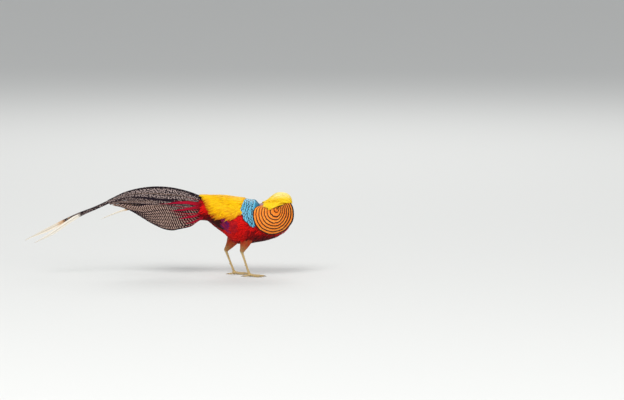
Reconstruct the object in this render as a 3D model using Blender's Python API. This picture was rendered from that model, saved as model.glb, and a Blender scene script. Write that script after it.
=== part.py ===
"""Cock golden pheasant in courtship display, a life-size still model. Metres, +Z up, facing +X, right side to -Y."""

import math
import random

import bmesh
import bpy
import numpy as np
from mathutils import Vector

GAP = 0.0003  # clear space between nodes that touch
SHORTEST_EDGE = 0.00003  # shorter edges that a cut leaves are closed up
RIGHT, LEFT = 1, -1  # the bird's right side looks to -Y, the displayed side
SEED = 11

# Torso sections from the tail root to the breast: x, z of the middle, half height, half width.
TORSO = [
    (0.026, 0.2240, 0.0380, 0.030),
    (0.052, 0.2125, 0.0490, 0.043),
    (0.084, 0.1990, 0.0590, 0.056),
    (0.112, 0.1835, 0.0700, 0.063),
    (0.146, 0.1785, 0.0705, 0.066),
    (0.182, 0.1785, 0.0655, 0.064),
    (0.216, 0.1780, 0.0590, 0.057),
    (0.246, 0.1755, 0.0475, 0.046),
    (0.270, 0.1730, 0.0330, 0.032),
    (0.287, 0.1690, 0.0180, 0.018),
    (0.296, 0.1660, 0.0040, 0.004),
]
TORSO_RINGS, TORSO_SIDES = 15, 18

# Neck: it is drawn in, so it is short. The ruff roots on it.
NECK_GRID = 10, 16
NECK = [
    (0.196, 0.200, 0.036, 0.042),
    (0.218, 0.212, 0.033, 0.035),
    (0.236, 0.219, 0.027, 0.028),
    (0.250, 0.222, 0.021, 0.0235),
    (0.261, 0.220, 0.014, 0.0195),
    (0.270, 0.217, 0.007, 0.0145),
    (0.274, 0.216, 0.002, 0.006),
]

# Head: the frame sits at the middle of the skull and its axis dips towards the bill.
HEAD_PLACE = Vector((0.263, 0.0, 0.2332))
HEAD_DIP = math.radians(20)
SKULL = [  # forward, up, half height, half width
    (-0.0235, 0.001, 0.002, 0.002),
    (-0.0215, 0.001, 0.008, 0.0075),
    (-0.014, 0.0005, 0.0140, 0.0125),
    (-0.004, 0.000, 0.0160, 0.0142),
    (0.006, -0.0003, 0.0150, 0.0136),
    (0.014, -0.0015, 0.0122, 0.0108),
    (0.020, -0.0028, 0.0092, 0.0078),
    (0.0245, -0.0036, 0.0070, 0.0058),
]
UPPER_BILL = [
    (0.0215, -0.0012, 0.0050, 0.0054),
    (0.030, -0.0010, 0.0042, 0.0046),
    (0.037, -0.0022, 0.0033, 0.0034),
    (0.043, -0.0048, 0.0020, 0.0020),
    (0.0465, -0.0078, 0.0006, 0.0006),
]
LOWER_BILL = [
    (0.0215, -0.0088, 0.0020, 0.0050),
    (0.030, -0.0082, 0.0018, 0.0040),
    (0.037, -0.0080, 0.0013, 0.0027),
    (0.0415, -0.0082, 0.0006, 0.0012),
]
EYE_RADIUS = 0.0050
EYE_PLACE = (0.0085, 0.0030, 0.0098)  # forward, up, out from the middle
LID_RADIUS, LID_THICK, LID_OUT = 0.0056, 0.0012, 0.0134
NOSTRIL = (0.0265, 0.0014, 0.0043)
NOSTRIL_SIZE = (0.0024, 0.0009, 0.0012)

# Crest: the dome that its tips reach, as upright sections from the forehead back: x, z, half height, half width.
CREST = [
    (0.306, 0.2395, 0.0035, 0.004),
    (0.301, 0.2455, 0.0125, 0.012),
    (0.289, 0.2505, 0.0200, 0.018),
    (0.272, 0.2525, 0.0225, 0.0205),
    (0.252, 0.2515, 0.0210, 0.0205),
    (0.233, 0.2450, 0.0160, 0.017),
    (0.217, 0.2375, 0.0090, 0.011),
    (0.206, 0.2325, 0.0025, 0.004),
]
CREST_TIERS = [  # first s, last s, locks across, widest angle from the middle
    (0.02, 0.50, 4, 56),
    (0.16, 0.74, 5, 74),
    (0.38, 0.99, 5, 72),
]
CREST_LOCK = (0.0052, 0.0010)  # half width, half thickness
CREST_SHINGLE = 0.0016  # every other lock lies this much deeper
CREST_CORE_HEIGHT, CREST_CORE_LENGTH = 0.72, 0.70  # the dense underlayer, as shares of the dome
CREST_CORE_HIGH, CREST_CORE_WIDE = 0.66, 0.74

# Ruff (cape): a round fan about a focus below the eye, its outline a circle.
RUFF_FOCUS = (0.266, 0.229)
RUFF_CENTRE = (0.243, 0.2075)
RUFF_RADIUS = 0.0675
RUFF_ROOT = (0.254, 0.219)
RUFF_ROOT_SPREAD = 0.007
RUFF_TIERS = [0.40, 0.60, 0.80, 1.0]
RUFF_COUNTS = [5, 6, 8, 9]
RUFF_SECTOR = (14, -176)  # degrees, from the face round below to the nape
RUFF_OVER_BODY, RUFF_OVER_NECK, RUFF_OVER_FACE = 0.0085, 0.0020, 0.0195
RUFF_FLARE = 0.004  # how much further out its front edge stands
RUFF_THICK = 0.0006
RUFF_STEP = 0.0018  # each tier lies this much deeper than the one above it
RUFF_SHINGLE = 0.0009  # and every other feather of a tier this much higher than its neighbours
RUFF_SHOWN = 0.34  # the share of the fan that a feather spans
RUFF_CORE = [  # share of the way out, height of its outer face, height of its inner face
    (0.06, -0.0055, -0.0085),
    (0.14, 0.0066, -0.0030),
    (0.30, 0.0044, -0.0008),
    (0.46, 0.0030, -0.0005),
]
CLOSED_TIERS, CLOSED_COUNTS = [0.54, 0.80], [3, 4]
CLOSED_SECTOR = (-118, -186)

# Feathers of the back, as rows on the torso.
MANTLE_ROWS = [  # x of root, x of tip, feathers, first and last angle, height at the tip
    (0.193, 0.153, 5, -60, 88, 0.0076),
    (0.182, 0.141, 6, -64, 94, 0.0062),
    (0.172, 0.129, 7, -66, 98, 0.0048),
]
MANTLE_HALF = 0.0145
GOLD_ROWS = [  # x of root, x of tip, feathers, first and last angle at the root, height at the tip
    (0.138, 0.084, 6, -54, 60, 0.0112),
    (0.112, 0.052, 6, -56, 61, 0.0100),
    (0.086, 0.022, 7, -56, 61, 0.0090),
    (0.060, 0.000, 6, -52, 62, 0.0060),
]
GOLD_SPLAY = 0.38  # how much further round the body a tip lies than its root
GOLD_HALF, GOLD_THICK = 0.0098, 0.0009
SHINGLE = 0.0012  # every other feather of a row lies this much higher
ROOT_SINK = 0.003  # how deep the feathers of the back are rooted
RUMP_END = 0.0262  # past this x the tips of the rump go on over the tail

# Wing: a blade laid on the side of the torso, with its flight feathers.
WING_SHOULDER_X, WING_TIP_X = 0.150, 0.072
WING_STATIONS = [  # angle of the middle, half span in degrees, thickness
    (88, 7, 0.0012),
    (89, 15, 0.0026),
    (90, 20, 0.0033),
    (91, 22, 0.0040),
    (92, 22, 0.0042),
    (93, 18, 0.0036),
    (94, 10, 0.0022),
]
FLIGHT = [  # root x, tip x, angle at the root, angle at the tip, half width, height
    (0.124, 0.060, 79, 83, 0.0100, 0.0054),
    (0.121, 0.046, 88, 92, 0.0094, 0.0046),
    (0.117, 0.044, 97, 100, 0.0086, 0.0036),
    (0.116, 0.060, 106, 108, 0.0074, 0.0027),
]
FLIGHT_ROOT = 0.0016  # how high the roots of the flight feathers lie in the blade
WING_RINGS = 9
VANE_THICK = 0.0006

# Tail: the ridge of the vaulted fan from its root, x and z, and how far the fan hangs below it.
RIDGE = [
    (0.040, 0.2490),
    (0.005, 0.2630),
    (-0.045, 0.2810),
    (-0.098, 0.2925),
    (-0.150, 0.2950),
    (-0.200, 0.2895),
    (-0.250, 0.2760),
    (-0.300, 0.2520),
    (-0.350, 0.2290),
    (-0.400, 0.2100),
    (-0.445, 0.1895),
    (-0.490, 0.1670),
    (-0.535, 0.1430),
    (-0.580, 0.1180),
]
FAN_DEPTH = [0.058, 0.106, 0.133, 0.137, 0.126, 0.104, 0.067, 0.0235, 0.0135, 0.012, 0.010, 0.009, 0.008, 0.008]
VAULT_HALF = 0.0025  # half the gap between the sides at the ridge
SHOWN_SLOPE, SHOWN_BELLY = 0.17, 0.10  # the displayed side hangs nearly upright and bellies out
FAR_SLOPE, FAR_DROP = 0.70, 0.78  # the far side spreads out flatter
TAIL_PAIRS = [  # length as a share of the ridge, place across the fan, half width, stations up to the split
    (0.965, 0.14, 0.0225, 8),
    (0.760, 0.29, 0.0200, 8),
    (0.535, 0.43, 0.0175, 7),
    (0.500, 0.55, 0.0165, 6),
    (0.465, 0.67, 0.0155, 6),
    (0.425, 0.79, 0.0145, 6),
    (0.385, 0.90, 0.0135, 6),
]
TIP_CURVE, TIP_EDGE = 0.75, 0.97  # how far the shorter feathers' tips curve down to the fan's lower edge
LONGEST = 1.0  # the left middle feather reaches the end of the ridge
TAIL_SPLIT = 0.545  # the share of the ridge where the narrow ends go on as parts of their own
TIP_STATIONS = [8, 5]
TIP_DROP = 0.022  # how much lower the right middle feather ends than the left
TIP_STEP = 0.0005
TAIL_STEP = 0.0014
TAIL_THICK = 0.0007
RACHIS = 0.0004
COVERTS = [  # length as a share of the ridge, place across the fan
    (0.185, 0.20),
    (0.255, 0.42),
    (0.205, 0.57),
    (0.160, 0.72),
    (0.112, 0.88),
]
COVERT_HALF, COVERT_THICK = 0.0050, 0.0008
COVERT_START, COVERT_REACH = 0.02, 0.06
COVERT_STATIONS = [  # share of the length, width, how far out it lies over the fan
    (0.0, 0.6, 0.0020),
    (0.25, 0.9, 0.0051),
    (0.5, 1.0, 0.0042),
    (0.78, 0.75, 0.0032),
    (1.0, 0.08, 0.0024),
]
TAIL_BASE = [
    (0.0255, 0.2240, 0.0375, 0.0295),
    (0.010, 0.2250, 0.0380, 0.0255),
    (-0.008, 0.2265, 0.0350, 0.0190),
    (-0.024, 0.2280, 0.0280, 0.0115),
    (-0.034, 0.2285, 0.0180, 0.0050),
    (-0.038, 0.2285, 0.0060, 0.0020),
]

# Legs: hock, foot and the way the toes point, with the right foot a pace ahead.
LEGS = {
    RIGHT: {"hip": (0.150, 0.024, 0.160), "hock": (0.138, 0.032, 0.083), "foot": (0.163, 0.031, 0.0085), "turn": -4},
    LEFT: {"hip": (0.122, 0.024, 0.160), "hock": (0.084, 0.032, 0.080), "foot": (0.112, 0.030, 0.0085), "turn": 5},
}
THIGH = [0.020, 0.0275, 0.0235, 0.0150, 0.0088, 0.0056]
THIGH_SHARES = [0, 0.2, 0.45, 0.68, 0.88, 1.0]
SHANK_RADII = [0.0047, 0.0038, 0.0033, 0.0033, 0.0040, 0.0052]
SPUR_SHARE, SPUR_LENGTH, SPUR_RADIUS = 0.62, 0.0085, 0.0022
TOES = {  # turn out from the foot's way in degrees, length, radius at the root
    "inner": (-27, 0.0330, 0.0034),
    "middle": (0, 0.0440, 0.0037),
    "outer": (27, 0.0350, 0.0034),
    "hind": (172, 0.0150, 0.0029),
}
CLAW_LENGTH, CLAW_RADIUS = 0.0105, 0.0019
KNUCKLES = (0.0, 0.28, 0.5, 0.72, 1.0)
KNUCKLE_SWELL = (1.15, 0.82, 1.0, 0.8, 0.86)
HIND_HEIGHTS = [0.0060, 0.0048, 0.0036, 0.0028, 0.0022]
TOE_FLAT = 0.0006  # how deep the floor cuts the underside of a toe
ANKLE_HEIGHT = 0.0066
PAD_RADIUS = 0.0068

MATERIALS = {  # colour, roughness
    "plumage_red": ((0.62, 0.02, 0.02), 0.6),
    "plumage_gold": ((0.95, 0.62, 0.03), 0.5),
    "plumage_ruff": ((0.85, 0.30, 0.06), 0.6),
    "plumage_tail": ((0.20, 0.14, 0.12), 0.6),
    "plumage_wing": ((0.22, 0.05, 0.06), 0.6),
    "horn": ((0.62, 0.50, 0.26), 0.4),
    "leg_skin": ((0.55, 0.42, 0.20), 0.5),
    "eye": ((0.90, 0.80, 0.35), 0.1),
}


def curve_at(stations, t):
    """The value at t, from 0 to 1, of a smooth curve through the stations."""
    table = np.atleast_2d(np.array(stations, float).T).T
    place = min(max(t, 0.0), 1.0) * (len(table) - 1)
    i = min(int(place), len(table) - 2)
    f = place - i
    a, b = table[i], table[i + 1]
    before = table[i - 1] if i else 2 * a - b
    after = table[i + 2] if i + 2 < len(table) else 2 * b - a
    bend = 2 * before - 5 * a + 4 * b - after
    twist = 3 * (a - b) + after - before
    return 0.5 * (2 * a + (b - before) * f + bend * f * f + twist * f**3)


def eased(low, high, value):
    """0 below low, 1 above high, and smooth between them."""
    f = min(max((value - low) / (high - low), 0.0), 1.0)
    return f * f * (3 - 2 * f)


class Form:
    """A rounded body on upright elliptical sections. theta is 0 at the top and grows towards the right side."""

    def __init__(self, stations):
        self.stations = stations
        steps = np.linspace(0, 1, 200)
        xs = np.array([curve_at(stations, s)[0] for s in steps])
        order = np.argsort(xs)
        self.xs, self.steps = xs[order], steps[order]

    def s_at(self, x):
        """Where along the body a section stands at x."""
        return float(np.interp(x, self.xs, self.steps))

    def skin(self, s, theta):
        x, z, high, wide = curve_at(self.stations, s)
        return Vector((x, -wide * math.sin(theta), z + high * math.cos(theta)))

    def normal(self, s, theta):
        s = min(max(s, 0.012), 0.988)
        along = self.skin(s + 0.01, theta) - self.skin(s - 0.01, theta)
        round_it = self.skin(s, theta + 0.02) - self.skin(s, theta - 0.02)
        out = along.cross(round_it).normalized()
        x, z, _, _ = curve_at(self.stations, s)
        away = self.skin(s, theta) - Vector((x, 0, z))
        return out if out.dot(away) > 0 else -out

    def point(self, s, theta, height=0.0):
        return self.skin(s, theta) + self.normal(s, theta) * height

    def depth(self, x, z):
        """How far the body reaches out from the middle plane at x and z, 0 outside it."""
        if not self.xs[0] < x < self.xs[-1]:
            return 0.0
        _, middle, high, wide = curve_at(self.stations, self.s_at(x))
        inside = 1 - ((z - middle) / max(high, 1e-4)) ** 2
        return wide * max(inside, 0.0) ** 0.4


torso = Form(TORSO)
neck = Form(NECK)
crest = Form(CREST)


def material(name):
    made = bpy.data.materials.get(name)
    if made is None:
        made = bpy.data.materials.new(name)
        made.use_nodes = True
        shader = made.node_tree.nodes["Principled BSDF"]
        colour, roughness = MATERIALS[name]
        shader.inputs["Base Color"].default_value = (*colour, 1)
        shader.inputs["Roughness"].default_value = roughness
        made.diffuse_color = (*colour, 1)
    return made


def mesh_object(name, points, faces, collection=None, finish=None):
    """A new object with outward faces, in the given collection or the bird's."""
    mesh = bpy.data.meshes.new(name)
    mesh.from_pydata([tuple(p) for p in points], [], faces)
    shell = bmesh.new()
    shell.from_mesh(mesh)
    bmesh.ops.recalc_face_normals(shell, faces=shell.faces)
    shell.to_mesh(mesh)
    shell.free()
    made = bpy.data.objects.new(name, mesh)
    (collection or bird).objects.link(made)
    if finish:
        mesh.materials.append(material(finish))
    return made


def loft(name, rings, **kept):
    """Rings of equally many points joined side to side, with a fan of triangles at each end."""
    around = len(rings[0])
    points = [p for ring in rings for p in ring]
    faces = []
    for i in range(len(rings) - 1):
        for j in range(around):
            k = (j + 1) % around
            a, b = i * around, (i + 1) * around
            faces += [(a + j, a + k, b + k), (a + j, b + k, b + j)]
    for ring, start in ((rings[0], 0), (rings[-1], (len(rings) - 1) * around)):
        middle = len(points)
        points.append(sum(ring, Vector()) / around)
        faces += [(start + j, start + (j + 1) % around, middle) for j in range(around)]
    return mesh_object(name, points, faces, **kept)


def form_solid(name, form, rings, sides, swell=0.0, first=0.0, last=1.0, **kept):
    """The body of a Form between two places along it, swollen by a clearance where it is a cutter."""
    made = []
    for i in range(rings):
        s = first + (last - first) * i / (rings - 1)
        made.append([form.point(s, 2 * math.pi * j / sides, swell) for j in range(sides)])
    return loft(name, made, **kept)


def head_point(forward, up, out=0.0):
    """A point of the head's own frame. out is positive to the right side."""
    c, s = math.cos(HEAD_DIP), math.sin(HEAD_DIP)
    return HEAD_PLACE + Vector((forward * c + up * s, -out, up * c - forward * s))


def head_solid(name, stations, rings, sides, swell=0.0, **kept):
    made = []
    for i in range(rings):
        forward, up, high, wide = curve_at(stations, i / (rings - 1))
        turns = [2 * math.pi * j / sides for j in range(sides)]
        made.append(
            [
                head_point(forward, up + (high + swell) * math.cos(a), (wide + swell) * math.sin(a))
                for a in turns
            ]
        )
    if swell:
        reach = 1.5 * swell
        made[0] = [p + (head_point(-reach, 0) - head_point(0, 0)) for p in made[0]]
        made[-1] = [p + (head_point(reach, 0) - head_point(0, 0)) for p in made[-1]]
    return loft(name, made, **kept)


def frames_of(centres, normals):
    """The side direction at each station of a strip, square to its run and its normal."""
    sides = []
    for i, normal in enumerate(normals):
        run = centres[min(i + 1, len(centres) - 1)] - centres[max(i - 1, 0)]
        sides.append(run.cross(normal).normalized())
    return sides


def vane(rows, thick, rachis=0.0):
    """A thin feather. Each row has its left edge, shaft and right edge, each a point with its normal."""
    points = []
    for row in rows:
        for face in (1, -1):
            for across, (place, normal) in enumerate(row):
                points.append(place + normal * (face * thick / 2 + (rachis if across == 1 else 0)))
    faces = []
    for i in range(len(rows) - 1):
        a, b = 6 * i, 6 * i + 6
        for p in (0, 1):
            q = p + 1
            faces += [(a + p, a + q, b + q), (a + p, b + q, b + p)]
            faces += [(a + 3 + p, b + 3 + q, a + 3 + q), (a + 3 + p, b + 3 + p, b + 3 + q)]
        faces += [(a, b, b + 3), (a, b + 3, a + 3), (a + 2, a + 5, b + 5), (a + 2, b + 5, b + 2)]
    for a in (0, 6 * len(rows) - 6):
        faces += [(a, a + 3, a + 4), (a, a + 4, a + 1), (a + 1, a + 4, a + 5), (a + 1, a + 5, a + 2)]
    return points, faces


def lock(centres, normals, halves, thicks):
    """A tapered lock of diamond section."""
    points = []
    for centre, normal, side, half, thick in zip(centres, normals, frames_of(centres, normals), halves, thicks):
        points += [centre - side * half, centre + normal * thick, centre + side * half, centre - normal * thick]
    faces = []
    for i in range(len(centres) - 1):
        a, b = 4 * i, 4 * i + 4
        for j in range(4):
            k = (j + 1) % 4
            faces += [(a + j, a + k, b + k), (a + j, b + k, b + j)]
    end = 4 * len(centres) - 4
    faces += [(0, 2, 1), (0, 3, 2), (end, end + 1, end + 2), (end, end + 2, end + 3)]
    return points, faces


def slab(outer, inner):
    """The closed solid between two like grids of points."""
    rows, columns = len(outer), len(outer[0])
    points = [p for grid in (outer, inner) for row in grid for p in row]
    far = rows * columns

    def corner(i, j, side):
        return side * far + i * columns + j

    faces = []
    for i in range(rows - 1):
        for j in range(columns - 1):
            for side in (0, 1):
                a, b = corner(i, j, side), corner(i, j + 1, side)
                c, d = corner(i + 1, j + 1, side), corner(i + 1, j, side)
                faces += [(a, b, c), (a, c, d)]
    rim = [(i, 0) for i in range(rows)] + [(rows - 1, j) for j in range(1, columns)]
    rim += [(i, columns - 1) for i in range(rows - 2, -1, -1)] + [(0, j) for j in range(columns - 2, 0, -1)]
    for here, there in zip(rim, rim[1:] + rim[:1]):
        a, b = corner(*here, 0), corner(*there, 0)
        c, d = corner(*there, 1), corner(*here, 1)
        faces += [(a, b, c), (a, c, d)]
    return points, faces


def rooted(name, pieces):
    """A scratch collection of the closed pieces that a node's union takes."""
    group = bpy.data.collections.new(name)
    bpy.context.scene.collection.children.link(group)
    for i, (points, faces) in enumerate(pieces):
        mesh_object(f"{name}_{i}", points, faces, collection=group)
    return group


def gathered(name, objects):
    """A scratch collection of objects that a union takes."""
    group = bpy.data.collections.new(name)
    bpy.context.scene.collection.children.link(group)
    for each in objects:
        bird.objects.unlink(each)
        group.objects.link(each)
    return group


def clear_away(objects):
    for each in list(objects):
        bpy.data.objects.remove(each)


def apply_boolean(made, operation, cutter=None, group=None, solver="MANIFOLD"):
    """One Boolean on an object or a collection, applied, with what it used removed."""
    change = made.modifiers.new(operation.lower(), "BOOLEAN")
    change.operation = operation
    change.solver = solver
    if group:
        change.operand_type = "COLLECTION"
        change.collection = group
    else:
        change.object = cutter
    bpy.context.view_layer.update()
    done = bpy.data.meshes.new_from_object(made.evaluated_get(bpy.context.evaluated_depsgraph_get()))
    made.modifiers.clear()
    made.data = done
    if group:
        clear_away(group.objects)
        bpy.data.collections.remove(group)


def close_short_edges(shell):
    """Closes up the very short edges that cuts leave, where the surface stays one closed sheet."""
    for _ in range(6):
        touched = set()
        short = [edge for edge in shell.edges if edge.calc_length() < SHORTEST_EDGE]
        for edge in short:
            if not edge.is_valid:
                continue
            a, b = edge.verts
            near = [{e.other_vert(v) for e in v.link_edges} for v in (a, b)]
            if len(near[0] & near[1]) != 2 or (near[0] | near[1]) & touched:
                continue
            middle = (a.co + b.co) / 2
            bmesh.ops.pointmerge(shell, verts=[a, b], merge_co=middle)
            touched |= {v for v in (a, b) if v.is_valid}
        if not short:
            break


def keep_largest(made):
    """Leaves only the largest closed surface of an object."""
    shell = bmesh.new()
    shell.from_mesh(made.data)
    bmesh.ops.triangulate(shell, faces=shell.faces)
    shell.faces.ensure_lookup_table()
    left, parts = set(shell.faces), []
    while left:
        stack, part = [left.pop()], []
        while stack:
            face = stack.pop()
            part.append(face)
            for edge in face.edges:
                for other in edge.link_faces:
                    if other in left:
                        left.remove(other)
                        stack.append(other)
        parts.append(part)
    parts.sort(key=lambda part: sum(face.calc_area() for face in part))
    scraps = [face for part in parts[:-1] for face in part]
    if scraps:
        bmesh.ops.delete(shell, geom=scraps, context="FACES")
        loose = [vert for vert in shell.verts if not vert.link_faces]
        bmesh.ops.delete(shell, geom=loose, context="VERTS")
    close_short_edges(shell)
    shell.to_mesh(made.data)
    shell.free()


def cut_clear(made, *cutters):
    for cutter in cutters:
        apply_boolean(made, "DIFFERENCE", cutter=cutter)
    keep_largest(made)


def tube(name, path, radii, finish, sides=2):
    """A round member along a path, swelling and tapering by its radii, as a mesh."""
    curve = bpy.data.curves.new(name, "CURVE")
    curve.dimensions = "3D"
    curve.bevel_depth = 1.0
    curve.bevel_resolution = sides
    curve.use_fill_caps = True
    line = curve.splines.new("POLY")
    line.points.add(len(path) - 1)
    for point, place, radius in zip(line.points, path, radii):
        point.co = (*place, 1)
        point.radius = radius
    drawn = bpy.data.objects.new(name + "_curve", curve)
    bird.objects.link(drawn)
    bpy.context.view_layer.update()
    mesh = bpy.data.meshes.new_from_object(drawn.evaluated_get(bpy.context.evaluated_depsgraph_get()))
    bpy.data.objects.remove(drawn)
    shell = bmesh.new()
    shell.from_mesh(mesh)
    bmesh.ops.remove_doubles(shell, verts=shell.verts, dist=1e-5)
    bmesh.ops.triangulate(shell, faces=shell.faces)
    bmesh.ops.recalc_face_normals(shell, faces=shell.faces)
    shell.to_mesh(mesh)
    shell.free()
    mesh.materials.clear()
    mesh.materials.append(material(finish))
    made = bpy.data.objects.new(name, mesh)
    bird.objects.link(made)
    return made


def ball(name, place, radius, segments=12, rings=8):
    """A round primitive as a mesh object in the bird's collection."""
    bpy.ops.mesh.primitive_uv_sphere_add(segments=segments, ring_count=rings, radius=radius, location=place)
    made = bpy.context.object
    made.name = name
    for group in list(made.users_collection):
        group.objects.unlink(made)
    bird.objects.link(made)
    return made


def row_angles(count, first, last):
    return [math.radians(first + (last - first) * (i + 0.5) / count) for i in range(count)]


def body_row(x, angle, half, height):
    """A vane's row on the torso, at a height over it."""
    s = torso.s_at(x)
    reach = half / max(float(curve_at(TORSO, s)[2]), 0.02)
    return [(torso.point(s, a, height), torso.normal(s, a)) for a in (angle - reach, angle, angle + reach)]


def mantle_feathers():
    """Broad round-ended feathers in overlapping rows behind the ruff."""
    made = []
    for root_x, tip_x, count, first, last, height in MANTLE_ROWS:
        for i, angle in enumerate(row_angles(count, first, last)):
            rows = []
            for t, width in ((0.0, 0.45), (0.35, 0.95), (0.78, 1.0), (1.0, 0.45)):
                lift = (height + SHINGLE * (i % 2) + ROOT_SINK) * eased(0, 0.6, t) - ROOT_SINK
                rows.append(body_row(root_x + (tip_x - root_x) * t, angle, MANTLE_HALF * width, lift))
            made.append(vane(rows, VANE_THICK))
    return made


def gold_feathers(draw):
    """Long loose feathers of the back and rump, splayed down over the wings."""
    made = []
    for root_x, tip_x, count, first, last, height in GOLD_ROWS:
        for i, angle in enumerate(row_angles(count, first, last)):
            longer = draw.uniform(-0.004, 0.004)
            centres, normals, halves, thicks = [], [], [], []
            for t, width, depth in ((0.0, 0.5, 1), (0.3, 1.0, 1), (0.65, 0.8, 1), (1.0, 0.12, 0.3)):
                x = root_x + (tip_x - root_x + longer) * t
                s = torso.s_at(max(x, RUMP_END))
                turned = angle * (1 + GOLD_SPLAY * t * t)
                lift = (height + SHINGLE * (i % 2) + ROOT_SINK) * eased(0, 0.32, t) - ROOT_SINK
                place = torso.point(s, turned, lift)
                place.x += min(x - RUMP_END, 0)
                centres.append(place)
                normals.append(torso.normal(s, turned))
                halves.append(GOLD_HALF * width)
                thicks.append(GOLD_THICK * depth)
            made.append(lock(centres, normals, halves, thicks))
    return made


def make_torso():
    made = form_solid("torso", torso, TORSO_RINGS, TORSO_SIDES, finish="plumage_red")
    pieces = mantle_feathers() + gold_feathers(random.Random(SEED))
    apply_boolean(made, "UNION", group=rooted("torso_feathers", pieces))
    keep_largest(made)
    return made


def ruff_depth(x, z):
    """How far out the ruff lies at x and z: clear of the torso, its mantle, the collar and the face."""
    body = torso.depth(x, z) + RUFF_OVER_BODY
    collar = neck.depth(x, z) + RUFF_OVER_NECK
    face = RUFF_OVER_FACE + RUFF_FLARE * eased(0.27, 0.31, x)
    return (body**9 + collar**9 + face**9) ** (1 / 9)


def ruff_place(share, turn):
    """Where a point of the ruff's fan lies, seen from the side: share of the way to its rim, in the direction turn."""
    way = (math.cos(turn), math.sin(turn))
    off = (RUFF_FOCUS[0] - RUFF_CENTRE[0], RUFF_FOCUS[1] - RUFF_CENTRE[1])
    b = -(off[0] * way[0] + off[1] * way[1])
    rim = b + math.sqrt(b * b + RUFF_RADIUS**2 - off[0] ** 2 - off[1] ** 2)
    blend = eased(0.0, RUFF_SHOWN, share)
    root = [RUFF_ROOT[i] + RUFF_ROOT_SPREAD * way[i] for i in (0, 1)]
    return [root[i] * (1 - blend) + (RUFF_FOCUS[i] + share * rim * way[i]) * blend for i in (0, 1)]


def ruff_point(share, turn, side, height):
    x, z = ruff_place(share, turn)
    return Vector((x, -side * (ruff_depth(x, z) + height), z))


def ruff_normal(share, turn, side, height):
    a = ruff_point(share + 0.02, turn, side, height) - ruff_point(share - 0.02, turn, side, height)
    b = ruff_point(share, turn + 0.03, side, height) - ruff_point(share, turn - 0.03, side, height)
    out = a.cross(b).normalized()
    return out if out.y * side < 0 else -out


def ruff_core(side, sector):
    """The dense roots of the ruff, a thin curved plate that reaches less than half way out."""
    first, last = (math.radians(a) for a in sector)
    turns = [first + (last - first) * i / 12 for i in range(13)]
    outer = [[ruff_point(share, turn, side, high) for turn in turns] for share, high, _ in RUFF_CORE]
    inner = [[ruff_point(share, turn, side, low) for turn in turns] for share, _, low in RUFF_CORE]
    return slab(outer, inner)


def ruff_feathers(side, tiers, counts, sector):
    """Square-ended feathers fanned about the focus, the upper tiers lying over the lower."""
    made = []
    first, last = (math.radians(a) for a in sector)
    for tier, (end, count) in enumerate(zip(tiers, counts)):
        step = (last - first) / count
        start = min(max(end - RUFF_SHOWN, 0.13), RUFF_CORE[-1][0] - 0.06)
        for i in range(count):
            turn = first + step * (i + 0.5)
            height = RUFF_STEP * (len(tiers) - 1 - tier) + RUFF_SHINGLE * (i % 2)
            rows = []
            for part, sink, width in ((0, 0.0014, 0.36), (0.4, 0, 0.54), (0.88, 0, 0.56), (1, 0, 0.42)):
                share = start + (end - start) * part
                row = []
                for a in (turn + step * width, turn, turn - step * width):
                    normal = ruff_normal(share, a, side, height)
                    row.append((ruff_point(share, a, side, 0) + normal * (height - sink), normal))
                rows.append(row)
            made.append(vane(rows, RUFF_THICK))
    return made


def make_neck(torso_cutter, head_cutter):
    made = form_solid("neck", neck, *NECK_GRID, finish="plumage_ruff")
    cut_clear(made, torso_cutter, head_cutter)


def make_ruff(side, name, tiers, counts, sector, cutters):
    """One side of the ruff, its core rooted on the collar of the neck."""
    points, faces = ruff_core(side, sector)
    made = mesh_object(name, points, faces, finish="plumage_ruff")
    apply_boolean(made, "UNION", group=rooted("ruff_feathers", ruff_feathers(side, tiers, counts, sector)))
    cut_clear(made, *cutters)


def crest_locks(draw):
    """Silky locks that rise from the crown and sweep back over the nape."""
    made = []
    for first, last, count, widest in CREST_TIERS:
        for i, angle in enumerate(row_angles(count, -widest, widest)):
            centres, normals, halves, thicks = [], [], [], []
            shift = draw.uniform(-0.03, 0.03)
            under = CREST_SHINGLE * (i % 2)
            for t, sink, half in ((0, 0.013, 0.55), (0.3, 0.005, 1.0), (0.62, 0.0012, 0.8), (1, 0.0004, 0.12)):
                s = min(max(first + shift + (last - first) * t, 0.01), 0.99)
                room = curve_at(CREST, s)[2]
                centres.append(crest.point(s, angle * (1 - 0.25 * t), -min(sink + under, 0.8 * room)))
                normals.append(crest.normal(s, angle))
                halves.append(CREST_LOCK[0] * half)
                thicks.append(CREST_LOCK[1] * (0.35 if t == 1 else 1))
            made.append(lock(centres, normals, halves, thicks))
    return made


def crest_core():
    """The sections of the dense underlayer of the crest, lower and smaller than its dome."""
    low = []
    middle, _, base = HEAD_PLACE
    for x, z, high, wide in CREST[1:-1]:
        place = middle + (x - middle) * CREST_CORE_LENGTH, base + (z - base) * CREST_CORE_HEIGHT
        low.append((*place, high * CREST_CORE_HIGH, wide * CREST_CORE_WIDE))
    return low


def crest_piece(neck_cutter):
    """The whole crest as one closed piece, cut clear of the neck."""
    made = form_solid("crest", Form(crest_core()), 8, 12)
    apply_boolean(made, "UNION", group=rooted("crest_locks", crest_locks(random.Random(SEED + 1))))
    cut_clear(made, neck_cutter)
    piece = [v.co.copy() for v in made.data.vertices], [tuple(p.vertices) for p in made.data.polygons]
    bpy.data.objects.remove(made)
    return piece


def make_head(neck_cutter):
    made = head_solid("head", SKULL, 11, 16, finish="plumage_gold")
    pieces = [crest_piece(neck_cutter)] + [lid_ring(side) for side in (RIGHT, LEFT)]
    apply_boolean(made, "UNION", group=rooted("head_pieces", pieces))
    for side in (RIGHT, LEFT):
        socket = ball("socket", eye_place(side), EYE_RADIUS + GAP)
        cut_clear(made, socket)
        bpy.data.objects.remove(socket)


def eye_place(side):
    forward, up, out = EYE_PLACE
    return head_point(forward, up, side * out)


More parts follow.
